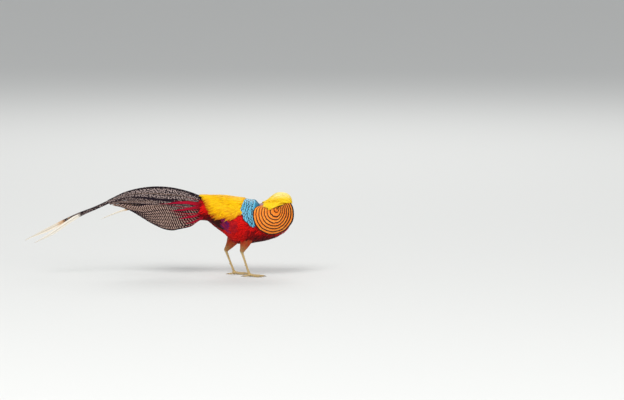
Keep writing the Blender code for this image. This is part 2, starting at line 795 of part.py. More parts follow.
def lid_ring(side):
    """The bare rim of the lids round one eye."""
    forward, up, _ = EYE_PLACE
    bpy.ops.mesh.primitive_torus_add(
        major_radius=LID_RADIUS, minor_radius=LID_THICK, major_segments=14, minor_segments=5
    )
    ring = bpy.context.object
    facing = (head_point(0, 0, side) - head_point(0, 0, 0)).normalized()
    spin = facing.to_track_quat("Z", "Y").to_matrix()
    centre = head_point(forward, up, side * LID_OUT)
    points = [centre + spin @ v.co for v in ring.data.vertices]
    faces = []
    for p in ring.data.polygons:
        a, b, c, d = p.vertices
        faces += [(a, b, c), (a, c, d)]
    bpy.data.objects.remove(ring)
    return points, faces


def make_bill(head_cutter):
    upper = head_solid("bill_upper", UPPER_BILL, 8, 10, finish="horn")
    lower = head_solid("bill_lower", LOWER_BILL, 6, 10, finish="horn")
    for side in (RIGHT, LEFT):
        forward, up, out = NOSTRIL
        pit = ball("nostril", head_point(forward, up, side * out), 1.0, 8, 5)
        pit.scale = NOSTRIL_SIZE[0], NOSTRIL_SIZE[2], NOSTRIL_SIZE[1]
        pit.rotation_euler = (0, HEAD_DIP, 0)
        cut_clear(upper, pit)
        bpy.data.objects.remove(pit)
    cut_clear(upper, head_cutter)
    upper_cutter = head_solid("upper_cutter", UPPER_BILL, 8, 10, swell=GAP)
    cut_clear(lower, head_cutter, upper_cutter)
    bpy.data.objects.remove(upper_cutter)


def make_eyes():
    for side, name in ((RIGHT, "eye_right"), (LEFT, "eye_left")):
        eye = ball(name, (0, 0, 0), EYE_RADIUS)
        eye.location = eye_place(side)
        eye.data.materials.append(material("eye"))


def wing_point(x, angle, height, side):
    return torso.point(torso.s_at(x), side * math.radians(angle), height)


def make_wing(side, name):
    """A blade on the torso's side, thickest along its middle, with flight feathers behind it."""
    rings = []
    for i in range(WING_RINGS):
        t = i / (WING_RINGS - 1)
        middle, half, thick = curve_at(WING_STATIONS, t)
        x = WING_SHOULDER_X + (WING_TIP_X - WING_SHOULDER_X) * t
        ring = []
        for across in (-1, -0.5, 0, 0.5, 1):
            rise = thick * (1 - 0.75 * across * across)
            ring.append(wing_point(x, middle + half * across, GAP + rise, side))
        for across in (1, 0.5, 0, -0.5, -1):
            ring.append(wing_point(x, middle + half * across, GAP, side))
        rings.append(ring)
    made = loft(name, rings, finish="plumage_wing")
    pieces = []
    for root_x, tip_x, root_angle, tip_angle, half, height in FLIGHT:
        rows = []
        for t, width in ((0.0, 0.4), (0.3, 0.9), (0.7, 1.0), (0.9, 0.75), (1.0, 0.3)):
            angle = side * math.radians(root_angle + (tip_angle - root_angle) * t)
            lift = FLIGHT_ROOT + (height - FLIGHT_ROOT) * eased(0, 0.5, t)
            rows.append(body_row(root_x + (tip_x - root_x) * t, angle, half * width, lift))
        pieces.append(vane(rows, VANE_THICK))
    apply_boolean(made, "UNION", group=rooted("flight_feathers", pieces))
    keep_largest(made)


def tail_point(along, below, side, out=0.0):
    """A point of the tail: a share of the ridge's length, metres down the fan from it, on one side of the vault."""
    x, z = curve_at(RIDGE, along)
    depth = float(curve_at(FAN_DEPTH, along)[0])
    ahead, behind = curve_at(RIDGE, min(along + 0.01, 1.0)), curve_at(RIDGE, max(along - 0.01, 0.0))
    run = Vector((ahead[0] - behind[0], 0, ahead[1] - behind[1])).normalized()
    down = Vector((run.z, 0, -run.x))
    if down.z > 0:
        down = -down
    share = below / max(depth, 0.02)
    if side == RIGHT:
        sideways = VAULT_HALF + SHOWN_SLOPE * below + SHOWN_BELLY * depth * (1 - math.exp(-3 * max(share, 0)))
        drop = below
    else:
        sideways = VAULT_HALF + FAR_SLOPE * below
        drop = below * FAR_DROP
    return Vector((x, 0, z)) + down * drop + Vector((0, -side * (sideways + out), 0))


def tail_normal(along, below, side):
    a = tail_point(along + 0.01, below, side) - tail_point(along - 0.01, below, side)
    b = tail_point(along, below + 0.004, side) - tail_point(along, below - 0.004, side)
    out = a.cross(b).normalized()
    return out if out.y * side < 0 else -out


def fan_place(t, pair, across, half, depth):
    """How far below the ridge the middle of a feather lies, with its lower edge inside the fan's."""
    if pair > 1:
        across += (TIP_EDGE - across) * TIP_CURVE * eased(0.40, 1.0, t)
    return max(min(across * depth, depth - half), half + 0.0008)


def tail_vane(side, pair, length, across, widest, stations, first=0.0, last=1.0, step=TAIL_STEP):
    """One tail feather, or a stretch of it between two shares of its length."""
    rows = []
    for i in range(stations):
        t = first + (last - first) * i / (stations - 1)
        along = length * t
        depth = float(curve_at(FAN_DEPTH, along)[0])
        half = widest * tail_width(t, pair)
        below = fan_place(t, pair, across, half, depth)
        if pair == 0 and side == RIGHT:
            below += TIP_DROP * eased(0.66, 1.0, t)
        row = []
        for b in (below - half, below, below + half):
            normal = tail_normal(min(max(along, 0.011), 0.989), b, side)
            row.append((tail_point(along, b, side, -step * pair), normal))
        rows.append(row)
    return vane(rows, TAIL_THICK, rachis=RACHIS)


def tail_feathers(side):
    """The graduated feathers of one side, the middle ones longest and outermost."""
    made = []
    for pair, (length, across, widest, stations) in enumerate(TAIL_PAIRS):
        length = LONGEST if side == LEFT and pair == 0 else length
        last = min(1.0, TAIL_SPLIT / length)
        made.append(tail_vane(side, pair, length, across, widest, stations, last=last))
    return made


def make_tail_tip(side, name):
    """The narrow ends of the two longest feathers of one side, past the fan."""
    pieces = []
    for pair, (length, across, widest, _) in enumerate(TAIL_PAIRS[:2]):
        length = LONGEST if side == LEFT and pair == 0 else length
        first = (TAIL_SPLIT + GAP) / length
        stations = TIP_STATIONS[pair]
        pieces.append(tail_vane(side, pair, length, across, widest, stations, first=first, step=TIP_STEP))
    made = mesh_object(name, *pieces[0], finish="plumage_tail")
    apply_boolean(made, "UNION", group=rooted("tip_feathers", pieces[1:]))
    keep_largest(made)


def tail_width(t, pair):
    """The two longest narrow early, to reach on as streamers, and the others are blunter."""
    rise = 0.16 + 0.84 * eased(0, 0.26, t)
    if pair == 0:
        fall = 1 - 0.74 * eased(0.26, 0.60, t) - 0.20 * eased(0.68, 1.0, t)
    elif pair == 1:
        fall = 1 - 0.74 * eased(0.30, 0.70, t) - 0.20 * eased(0.75, 1.0, t)
    else:
        fall = 1 - 0.50 * eased(0.45, 0.85, t) - 0.42 * eased(0.8, 1.0, t)
    return rise * fall


def covert_feathers(side):
    """Narrow pointed coverts that lie over the root of the tail."""
    made = []
    for length, across in COVERTS:
        centres, normals, halves, thicks = [], [], [], []
        for t, width, out in COVERT_STATIONS:
            along = COVERT_START + (length + COVERT_REACH) * t
            depth = float(curve_at(FAN_DEPTH, along)[0])
            centres.append(tail_point(along, across * depth, side, out))
            normals.append(tail_normal(max(along, 0.011), across * depth, side))
            halves.append(COVERT_HALF * width)
            thicks.append(COVERT_THICK * (0.6 if t == 1 else 1))
        made.append(lock(centres, normals, halves, thicks))
    return made


def make_tail(torso_cutter):
    made = form_solid("tail", Form(TAIL_BASE), 8, 14, finish="plumage_tail")
    pieces = []
    for side in (RIGHT, LEFT):
        pieces += tail_feathers(side) + covert_feathers(side)
    apply_boolean(made, "UNION", group=rooted("tail_feathers", pieces))
    cut_clear(made, torso_cutter)


def lerp(a, b, t):
    return Vector(a) * (1 - t) + Vector(b) * t


def leg_place(side, name):
    x, out, z = LEGS[side][name]
    return Vector((x, -side * out, z))


def toe_path(side, ankle, toe_name):
    """The line and the radii of one toe, level on the floor past its first knuckle."""
    turn, length, radius = TOES[toe_name]
    way = math.radians(LEGS[side]["turn"] + (-turn if side == RIGHT else turn))
    ahead = Vector((math.cos(way), math.sin(way), 0))
    lift = radius - TOE_FLAT
    heights = [ankle.z, lift + 0.0016, lift + 0.0003, lift, lift - 0.0004]
    if toe_name == "hind":
        heights = HIND_HEIGHTS
    path = [ankle + ahead * (0.003 + length * t) for t in KNUCKLES]
    return [Vector((p.x, p.y, h)) for p, h in zip(path, heights)], [radius * k for k in KNUCKLE_SWELL]


def make_foot(side, word, ankle, floor):
    """Four toes about their pad in one piece, and a claw at the end of each."""
    made = ball(f"foot_{word}", ankle, PAD_RADIUS, 10, 6)
    made.data.transform(made.matrix_world)
    made.location = (0, 0, 0)
    made.data.materials.append(material("leg_skin"))
    toes = []
    for toe_name in TOES:
        path, radii = toe_path(side, ankle, toe_name)
        toes.append(tube("toe", path, radii, "leg_skin", sides=1))
        run = (path[-1] - path[-2]).normalized()
        claw_line = [path[-1] + run * (GAP * 1.3 + CLAW_LENGTH * t) for t in (0, 0.4, 1)]
        claw_line[2].z = 0.0007
        claw_radii = [CLAW_RADIUS, CLAW_RADIUS * 0.7, 0.00035]
        claw = tube(f"claw_{toe_name}_{word}", claw_line, claw_radii, "horn", sides=1)
        cut_clear(claw, floor)
    apply_boolean(made, "UNION", group=gathered("toes", toes))
    cut_clear(made, floor)


def make_leg(side, word, torso_cutter, floor):
    """Thigh, and shank with its spur, on the foot."""
    hip, hock, foot = (leg_place(side, n) for n in ("hip", "hock", "foot"))
    knee_line = [lerp(hip, hock, t) + Vector((0.007 * math.sin(math.pi * t), 0, 0)) for t in THIGH_SHARES]
    thigh = tube(f"thigh_{word}", knee_line, THIGH, "plumage_red", sides=4)
    cut_clear(thigh, torso_cutter)
    past_hock = hock + (hock - knee_line[-2]).normalized() * GAP
    thigh_line = [*knee_line[:-1], past_hock]
    thigh_cutter = tube("thigh_cutter", thigh_line, [radius + GAP for radius in THIGH], "plumage_red", sides=4)
    ankle = Vector((foot.x, foot.y, ANKLE_HEIGHT))
    line = [hock, *(lerp(hock, foot, t) for t in (0.12, 0.4, 0.72, 0.94)), ankle]
    shank = tube(f"shank_{word}", line, SHANK_RADII, "leg_skin", sides=2)
    root = lerp(hock, foot, SPUR_SHARE)
    back = Vector((-0.86, 0.5 * side, 0.1)).normalized()
    spur_line = [root, root + back * 0.004, root + back * SPUR_LENGTH + Vector((0, 0, 0.001))]
    spur = tube("spur", spur_line, [SPUR_RADIUS, SPUR_RADIUS * 0.85, 0.0004], "leg_skin", sides=1)
    apply_boolean(shank, "UNION", group=gathered("spur", [spur]))
    pad_cutter = ball("pad_cutter", ankle, PAD_RADIUS + GAP, 10, 6)
    cut_clear(shank, thigh_cutter, pad_cutter)
    clear_away([thigh_cutter, pad_cutter])
    make_foot(side, word, ankle, floor)


def stand_on_origin():
    """Moves the bird so that the origin is on the floor below the middle of its box."""
    bpy.context.view_layer.update()
    corners = [o.matrix_world @ Vector(c) for o in bird.objects for c in o.bound_box]
    low = Vector([min(c[i] for c in corners) for i in range(3)])
    high = Vector([max(c[i] for c in corners) for i in range(3)])
    shift = Vector((-(low.x + high.x) / 2, -(low.y + high.y) / 2, 0))
    for each in bird.objects:
        each.location += shift


for old in list(bpy.data.objects):
    bpy.data.objects.remove(old)
bird = bpy.data.collections.new("golden_pheasant")
bpy.context.scene.collection.children.link(bird)

torso_clear = form_solid("torso_cutter", torso, TORSO_RINGS, TORSO_SIDES, swell=GAP)
head_clear = head_solid("head_cutter", SKULL, 11, 16, swell=GAP)
bpy.ops.mesh.primitive_cube_add(size=1, location=(0.13, 0, -0.05))
floor_cut = bpy.context.object
floor_cut.scale = (0.6, 0.4, 0.1)
bpy.context.view_layer.update()

make_torso()
make_neck(torso_clear, head_clear)
neck_clear = form_solid("neck_cutter", neck, *NECK_GRID, swell=GAP)
make_ruff(RIGHT, "cape_right", RUFF_TIERS, RUFF_COUNTS, RUFF_SECTOR, [neck_clear, head_clear])
make_ruff(LEFT, "cape_left", CLOSED_TIERS, CLOSED_COUNTS, CLOSED_SECTOR, [neck_clear, head_clear])
make_head(neck_clear)
make_bill(head_clear)
make_eyes()
make_wing(RIGHT, "wing_right")
make_wing(LEFT, "wing_left")
make_tail(torso_clear)
make_tail_tip(RIGHT, "tail_tip_right")
make_tail_tip(LEFT, "tail_tip_left")
make_leg(RIGHT, "right", torso_clear, floor_cut)
make_leg(LEFT, "left", torso_clear, floor_cut)
clear_away([torso_clear, neck_clear, head_clear, floor_cut])
stand_on_origin()
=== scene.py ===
import math

import bpy
import numpy as np
from mathutils import Matrix, Vector


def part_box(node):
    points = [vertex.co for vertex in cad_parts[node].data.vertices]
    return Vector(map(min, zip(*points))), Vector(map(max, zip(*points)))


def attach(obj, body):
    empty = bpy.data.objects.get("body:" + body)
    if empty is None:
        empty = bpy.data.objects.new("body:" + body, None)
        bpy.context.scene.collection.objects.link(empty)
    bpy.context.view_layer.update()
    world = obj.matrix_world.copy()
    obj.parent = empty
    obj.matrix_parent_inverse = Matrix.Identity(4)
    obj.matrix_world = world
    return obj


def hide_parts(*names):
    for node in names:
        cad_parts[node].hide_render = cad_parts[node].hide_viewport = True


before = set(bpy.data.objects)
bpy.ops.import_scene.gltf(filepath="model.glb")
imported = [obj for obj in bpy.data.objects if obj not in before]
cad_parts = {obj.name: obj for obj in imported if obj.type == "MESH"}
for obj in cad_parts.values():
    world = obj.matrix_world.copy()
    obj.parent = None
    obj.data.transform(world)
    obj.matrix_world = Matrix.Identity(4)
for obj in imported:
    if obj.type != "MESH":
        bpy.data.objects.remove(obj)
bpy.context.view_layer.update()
bpy.ops.object.select_all(action="DESELECT")

right, left = 1, -1  # the bird's right side looks to -Y, towards the camera
sideWords = {right: "right", left: "left"}


def sided(name, side):  # footRight, footLeft
    return name + sideWords[side].capitalize()


# Everything is worked out in the bird's own frame, and shifted to the row frame at the very end of each mesh.
headLook = {"place": (0.263, 0.0, 0.2332), "dip": math.radians(20), "eye": (0.0085, 0.003, 0.0098)}


def headPoint(forward, up, out=0.0):  # a point of the head's own frame, out to the right side
    c, s = math.cos(headLook["dip"]), math.sin(headLook["dip"])
    x, y, z = headLook["place"]
    return Vector((x + forward * c + up * s, y - out, z + up * c - forward * s))


eyeLow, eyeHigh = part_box("eye_right")
birdShift = (eyeLow + eyeHigh) / 2 - headPoint(*headLook["eye"])

# Smooth forms: stations of x, z of the middle, half height and half width.
bodyStations = {
    "torso": [
        (0.026, 0.224, 0.038, 0.03), (0.052, 0.2125, 0.049, 0.043), (0.084, 0.199, 0.059, 0.056),
        (0.112, 0.1835, 0.07, 0.063), (0.146, 0.1785, 0.0705, 0.066), (0.182, 0.1785, 0.0655, 0.064),
        (0.216, 0.178, 0.059, 0.057), (0.246, 0.1755, 0.0475, 0.046), (0.27, 0.173, 0.033, 0.032),
        (0.287, 0.169, 0.018, 0.018), (0.296, 0.166, 0.004, 0.004),
    ],
    "neck": [
        (0.196, 0.2, 0.036, 0.042), (0.218, 0.212, 0.033, 0.035), (0.236, 0.219, 0.027, 0.028),
        (0.25, 0.222, 0.021, 0.0235), (0.261, 0.22, 0.014, 0.0195), (0.27, 0.217, 0.007, 0.0145),
        (0.274, 0.216, 0.002, 0.006),
    ],
    "tailBase": [
        (0.03, 0.224, 0.0375, 0.0295), (0.012, 0.2245, 0.036, 0.02), (-0.004, 0.226, 0.031, 0.01),
        (-0.018, 0.228, 0.024, 0.005), (-0.028, 0.2285, 0.016, 0.003), (-0.032, 0.2285, 0.006, 0.0015),
    ],
    "crest": [
        (0.306, 0.2395, 0.0035, 0.004), (0.302, 0.2455, 0.013, 0.013), (0.29, 0.25, 0.0215, 0.0185),
        (0.272, 0.2525, 0.024, 0.021), (0.252, 0.2515, 0.023, 0.021), (0.234, 0.2455, 0.0175, 0.0175),
        (0.218, 0.2385, 0.01, 0.0115), (0.206, 0.2325, 0.0025, 0.004),
    ],
}
skullStations = [  # forward, up, half height, half width
    (-0.0235, 0.001, 0.002, 0.002), (-0.0215, 0.001, 0.008, 0.0075), (-0.014, 0.0005, 0.014, 0.0125),
    (-0.004, 0.0, 0.016, 0.0142), (0.006, -0.0003, 0.015, 0.0136), (0.014, -0.0015, 0.0122, 0.0108),
    (0.02, -0.0028, 0.0092, 0.0078), (0.0245, -0.0036, 0.007, 0.0058),
]


def eased(low, high, value):
    f = np.clip((value - low) / (high - low), 0, 1)
    return f * f * (3 - 2 * f)


def smoothTable(stations, count=481):
    rows = np.array(stations, float)
    rows = rows.reshape(len(rows), -1)
    place = np.linspace(0, 1, count) * (len(rows) - 1)
    i = np.minimum(place.astype(int), len(rows) - 2)
    f = (place - i)[:, None]
    a, b = rows[i], rows[i + 1]
    before = np.where(i[:, None] > 0, rows[np.maximum(i - 1, 0)], 2 * a - b)
    after = np.where(i[:, None] + 2 < len(rows), rows[np.minimum(i + 2, len(rows) - 1)], 2 * b - a)
    bend = 2 * before - 5 * a + 4 * b - after
    twist = 3 * (a - b) + after - before
    return 0.5 * (2 * a + (b - before) * f + bend * f * f + twist * f**3)


def sample(table, share):
    grid = np.linspace(0, 1, len(table))
    return [np.interp(share, grid, column) for column in table.T]


def pairsAt(pairs, place):  # the value at a place, between the pairs of a list
    return np.interp(place, *zip(*pairs))


def shareAt(form, x):
    return np.interp(x, form["xs"], form["shares"])


def sectionAt(form, x):  # x, z of the middle, half height and half width
    return sample(form["table"], shareAt(form, x))


def makeForm(stations):
    table = smoothTable(stations)
    order = np.argsort(table[:, 0])
    return {"table": table, "xs": table[order, 0], "shares": np.linspace(0, 1, len(table))[order]}


def skinAt(form, share, theta):
    x, z, high, wide = sample(form["table"], share)
    return np.stack(np.broadcast_arrays(x, -wide * np.sin(theta), z + high * np.cos(theta)), -1)


def unit(vectors):
    return vectors / np.maximum(np.linalg.norm(vectors, axis=-1, keepdims=True), 1e-12)


def normalAt(form, share, theta):
    share = np.clip(share, 0.012, 0.988)
    along = skinAt(form, share + 0.01, theta) - skinAt(form, share - 0.01, theta)
    around = skinAt(form, share, theta + 0.02) - skinAt(form, share, theta - 0.02)
    out = unit(np.cross(along, around))
    x, z, _, _ = sample(form["table"], share)
    middle = np.stack(np.broadcast_arrays(x, 0.0 * z, z), -1)
    away = ((skinAt(form, share, theta) - middle) * out).sum(-1, keepdims=True)
    return np.where(away < 0, -out, out)


def overForm(form, x, theta, height):  # a point over a form; past its ends it goes straight on
    inside = np.clip(x, form["xs"][0] + 0.0006, form["xs"][-1] - 0.0006)
    share = shareAt(form, inside)
    normal = normalAt(form, share, theta)
    points = skinAt(form, share, theta) + normal * np.asarray(height)[..., None]
    points[..., 0] += x - inside
    return points, normal


def depthAt(form, x, z):  # how far the form reaches out from the middle plane
    _, middle, high, wide = sectionAt(form, x)
    inside = 1 - ((z - middle) / np.maximum(high, 1e-4)) ** 2
    return np.where((x > form["xs"][0]) & (x < form["xs"][-1]), wide * np.maximum(inside, 0) ** 0.4, 0.0)


def pushOut(form, points, clear):  # moves points that lie inside a form out to its surface
    x = np.clip(points[..., 0], form["xs"][0], form["xs"][-1])
    _, middle, high, wide = sectionAt(form, x)
    near = np.abs(points[..., 0] - x) < 0.001
    reach = np.hypot((points[..., 2] - middle) / (high + clear), points[..., 1] / (wide + clear))
    grow = np.where(near & (reach < 1), 1 / np.maximum(reach, 0.35), 1.0)
    points[..., 1] *= grow
    points[..., 2] = middle + (points[..., 2] - middle) * grow
    return points


forms = {name: makeForm(stations) for name, stations in bodyStations.items()}
torso, neck, crest = forms["torso"], forms["neck"], forms["crest"]


def perFeather(numbers):  # one number for each feather, ready for its rows and columns
    return np.asarray(numbers)[:, None, None]


def vaneGrid(rowsAt, columns):  # places along feathers, and across them from -1 to 1
    return np.array(rowsAt)[None, :, None], np.linspace(-1, 1, columns)[None, None, :]


def paintValue(made, name, numbers):  # one number for each point, which materials read
    made.attributes.new(name, "FLOAT", "POINT").data.foreach_set("value", numbers.astype(np.float32))


# Feathers are built many at a time as joined meshes: a thin lens-shaped vane on a grid of rows and columns.
def vaneFaces(rows, columns):
    top = np.arange(rows * columns).reshape(rows, columns)
    under = top.copy()
    under[1:-1, 1:-1] = rows * columns + np.arange((rows - 2) * (columns - 2)).reshape(rows - 2, columns - 2)
    corners = [(slice(None, -1), slice(None, -1)), (slice(None, -1), slice(1, None))]
    corners += [(slice(1, None), slice(1, None)), (slice(1, None), slice(None, -1))]
    upper = np.stack([top[c] for c in corners], -1).reshape(-1, 4)
    lower = np.stack([under[c] for c in reversed(corners)], -1).reshape(-1, 4)
    return np.concatenate([upper, lower])


def joinedMesh(name, points, quads, rims, maps, values, material):
    mesh = bpy.data.meshes.new(name)
    mesh.vertices.add(len(points))
    mesh.vertices.foreach_set("co", (points + np.array(birdShift)).astype(np.float32).ravel())
    mesh.loops.add(quads.size)
    mesh.loops.foreach_set("vertex_index", quads.astype(np.int32).ravel())
    mesh.polygons.add(len(quads))
    mesh.polygons.foreach_set("loop_start", np.arange(0, quads.size, quads.shape[1], dtype=np.int32))
    mesh.update(calc_edges=True)
    mesh.polygons.foreach_set("use_smooth", np.ones(len(quads), bool))
    ends = np.zeros(len(mesh.edges) * 2, np.int32)
    mesh.edges.foreach_get("vertices", ends)
    crisp = rims[ends].reshape(-1, 2).all(axis=1)  # only rim edges join two rim points
    mesh.attributes.new("sharp_edge", "BOOLEAN", "EDGE").data.foreach_set("value", crisp)
    for mapName, spots in maps.items():
        layer = mesh.uv_layers.new(name=mapName)
        layer.uv.foreach_set("vector", spots[quads.ravel()].astype(np.float32).ravel())
    for valueName, numbers in values.items():
        paintValue(mesh, valueName, numbers)
    mesh.materials.append(material)
    made = bpy.data.objects.new(name, mesh)
    bpy.context.scene.collection.objects.link(made)
    return made


# middle: count x rows x columns x 3; outward: a direction for each feather's face; thick: rows x columns
def feathersMesh(name, middle, outward, thick, roots, values, material, patch=0.003, rowsAt=None):
    count, rows, columns, _ = middle.shape
    rowsAt = np.linspace(0, 1, rows) if rowsAt is None else np.array(rowsAt)
    cross = unit(np.cross(np.gradient(middle, axis=2), np.gradient(middle, axis=1)))
    turned = (cross * outward).sum(-1).mean(axis=(1, 2)) < 0
    middle[turned] = middle[turned][:, :, ::-1]
    cross[turned] = -cross[turned][:, :, ::-1]
    lift = cross * (np.asarray(thick)[..., None] / 2)
    upper = (middle + lift).reshape(count, -1, 3)
    lower = (middle - lift)[:, 1:-1, 1:-1].reshape(count, -1, 3)
    rim = np.ones((rows, columns), bool)
    rim[1:-1, 1:-1] = False
    upper[:, rim.ravel()] = middle.reshape(count, -1, 3)[:, rim.ravel()]
    points = np.concatenate([upper, lower], axis=1)
    each = points.shape[1]
    quads = (vaneFaces(rows, columns)[None] + perFeather(np.arange(count) * each)).reshape(-1, 4)
    v, u = np.meshgrid(rowsAt, np.linspace(0, 1, columns), indexing="ij")
    spot = np.stack([u, v], -1)
    spot = np.concatenate([spot.reshape(-1, 2), spot[1:-1, 1:-1].reshape(-1, 2)])
    vane = np.tile(spot, (count, 1, 1))
    vane[turned, :, 0] = 1 - vane[turned, :, 0]
    bake = np.asarray(roots)[:, None] + (vane - 0.5) * patch
    maps = {"vane": vane.reshape(-1, 2), "OFBake": bake.reshape(-1, 2)}
    floats = {key: np.repeat(np.broadcast_to(numbers, (count,)), each) for key, numbers in values.items()}
    rims = np.zeros((count, each), bool)
    rims[:, : rows * columns] = rim.ravel()
    return joinedMesh(name, points.reshape(-1, 3), quads, rims.ravel(), maps, floats, material)


def thickness(rowsAt, columns, most, ridge=0.0):  # thickest along the shaft and at the root
    a = np.abs(np.linspace(-1, 1, columns))
    t = np.array(rowsAt)[:, None]
    return most * (1 - 0.55 * t) * (0.45 + 0.55 * (1 - a)) + ridge * (a < 0.01) * (1 - 0.6 * t)


# Lays feathers on a form. Each of x, angle, length, half, lean and lift has one number for each feather.
def layFeathers(form, rng, roots, outline, rowsAt, columns, cup=0.15, sink=0.002, wave=0.0, full=0.7):
    names = ("x", "angle", "length", "half", "lean", "lift")
    x0, angle, length, half, lean, lift = (perFeather(roots[name]) for name in names)
    t, a = vaneGrid(rowsAt, columns)
    width = pairsAt(outline, t)
    share = shareAt(form, np.clip(x0, form["xs"][0], form["xs"][-1]))
    _, _, high, wide = sample(form["table"], share)
    radius = np.hypot(wide * np.cos(angle), high * np.sin(angle))
    count = len(x0)
    phase = t * rng.uniform(0.5, 1.1, (count, 1, 1)) + rng.random((count, 1, 1))
    swing = wave * half * np.sin(2 * math.pi * phase) * t
    run = length * t
    side = half * width * a + swing
    x = x0 - np.cos(lean) * run + np.sin(lean) * side
    theta = angle + (np.sin(lean) * run + np.cos(lean) * side) / np.maximum(radius, 0.012)
    height = (sink + lift) * eased(0, full, t) - sink - cup * half * width * a * a
    middle, normal = overForm(form, x, theta, height + 0 * x)
    places = np.stack([0.03 + 0.94 * share[:, 0, 0], (angle[:, 0, 0] / (2 * math.pi) + 0.5) % 1.0], -1)
    return middle, normal, places


# Rows of roots round a form, each row staggered by half a feather against the one before.
def rootRows(form, rng, xs, first, last, spacing, jitter=0.25):
    allX, allAngles = [], []
    span = math.radians(last - first)
    for i, x in enumerate(xs):
        _, _, high, wide = sectionAt(form, x)
        count = max(int(span * (high + wide) / 2 / spacing), 3)
        angles = math.radians(first) + span * (np.arange(count) + 0.25 + 0.5 * (i % 2)) / count
        allAngles.append(angles + rng.uniform(-jitter, jitter, count) * span / count)
        allX.append(np.full(count, x) + rng.uniform(-jitter, jitter, count) * spacing)
    return np.concatenate(allX), np.concatenate(allAngles)


def spread(rng, count, middle, share):
    return middle * (1 + rng.uniform(-share, share, count))


def varied(rng, count, look, **shares):  # the look's sizes, each with its random share more or less
    return {name: spread(rng, count, look[name], share) for name, share in shares.items()}


def finishPiece(made, slotName, *nodes):
    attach(made, "root")
    if nodes:
        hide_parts(*nodes)
    return made


# laid: the middles, outward directions and places in the bake map that layFeathers gives
def makePlumage(name, slotName, laid, values, material, rowsAt, thick, *nodes):
    middle, outward, places = laid
    profile = thickness(rowsAt, middle.shape[2], *thick)
    made = feathersMesh(name, middle, outward, profile, places, values, material, rowsAt=rowsAt)
    return finishPiece(made, slotName, *nodes)


def pointsOf(made):
    points = np.zeros(len(made.data.vertices) * 3, np.float32)
    made.data.vertices.foreach_get("co", points)
    return points.reshape(-1, 3).astype(float)


def putPoints(made, points):
    made.data.vertices.foreach_set("co", points.astype(np.float32).ravel())
    made.data.update()


def dress(made, material):  # a shape made in the bird's frame goes to its place in the row frame
    made.data.transform(Matrix.Translation(birdShift))
    made.data.materials.clear()
    made.data.materials.append(material)


# Shader helpers, and groups that several looks share: each reads the place on a feather and its tone.
def newGroup(name, inputs, *outputs):
    group = bpy.data.node_groups.new(name, "ShaderNodeTree")
    for label, value in {"Across": 0.0, "Along": 0.0, "Tone": 0.5, **inputs}.items():
        socket = group.interface.new_socket(label, in_out="INPUT", socket_type="NodeSocketFloat")
        socket.default_value = value
    for label in outputs:
        group.interface.new_socket(label, in_out="OUTPUT", socket_type="NodeSocketFloat")
    source, out = group.nodes.new("NodeGroupInput"), group.nodes.new("NodeGroupOutput")
    return group, source.outputs, out.inputs


def feed(tree, socket, value):  # value: another node's output, or a number or a colour
    if hasattr(value, "is_output"):
        tree.links.new(value, socket)
    else:
        socket.default_value = (*value, 1) if isinstance(value, tuple) else value


def mathNode(tree, kind, *values):
    node = tree.nodes.new("ShaderNodeMath")
    node.operation = kind
    for socket, value in zip(node.inputs, values):
        feed(tree, socket, value)
    return node.outputs[0]


def rampNode(tree, factor, stops):  # a stop is its place, and a colour or a grey
    node = tree.nodes.new("ShaderNodeValToRGB")
    node.color_ramp.interpolation = "EASE"
    for i, (place, colour) in enumerate(stops):
        stop = node.color_ramp.elements[i] if i < 2 else node.color_ramp.elements.new(place)
        stop.position = place
        stop.color = (*np.broadcast_to(colour, 3), 1)
    tree.links.new(factor, node.inputs[0])
    return node.outputs[0]


def mixNode(tree, factor, first, second, blend="MIX"):
    node = tree.nodes.new("ShaderNodeMix")
    node.data_type = "RGBA"
    node.blend_type = blend
    for place, value in ((0, factor), (6, first), (7, second)):
        feed(tree, node.inputs[place], value)
    return node.outputs[2]


def clampNode(tree, value):
    return mathNode(tree, "MINIMUM", mathNode(tree, "MAXIMUM", value, 0.0), 1.0)


def textureNode(tree, kind, place, scale, **settings):  # the Fac of a Noise, or the Distance of a Voronoi
    node = tree.nodes.new("ShaderNodeTex" + kind)
    for label, value in {"Vector": place, "Scale": scale, **settings}.items():
        feed(tree, node.inputs[label], value)
    return node.outputs["Fac" if kind == "Noise" else "Distance"]


def objectPlace(tree):
    return tree.nodes.new("ShaderNodeTexCoord").outputs["Object"]


def vectorOf(tree, *parts):
    node = tree.nodes.new("ShaderNodeCombineXYZ")
    for part, socket in zip(parts, node.inputs):
        tree.links.new(part, socket)
    return node.outputs[0]


def valueOf(tree, name, output="Fac"):
    node = tree.nodes.new("ShaderNodeAttribute")
    node.attribute_name = name
    return node.outputs[output]


def buildBarbs():  # slanting barb lines on both sides of the shaft
    group, given, out = newGroup("featherBarbs", {"Density": 30.0, "Slant": 0.35}, "Lines", "Shaft")
    away = mathNode(group, "ABSOLUTE", given["Across"])
    skewed = mathNode(group, "MULTIPLY_ADD", away, given["Slant"], given["Along"])
    dense = mathNode(group, "MULTIPLY", skewed, given["Density"])
    noise = group.nodes.new("ShaderNodeTexNoise")
    noise.noise_dimensions = "1D"
    noise.inputs["Scale"].default_value = noise.inputs["Detail"].default_value = 1.0
    group.links.new(mathNode(group, "MULTIPLY_ADD", given["Tone"], 7.3, dense), noise.inputs["W"])
    group.links.new(noise.outputs["Fac"], out["Lines"])
    near = mathNode(group, "SUBTRACT", 1.0, mathNode(group, "MULTIPLY", away, 9.0))
    group.links.new(mathNode(group, "MAXIMUM", near, 0.0), out["Shaft"])
    return group


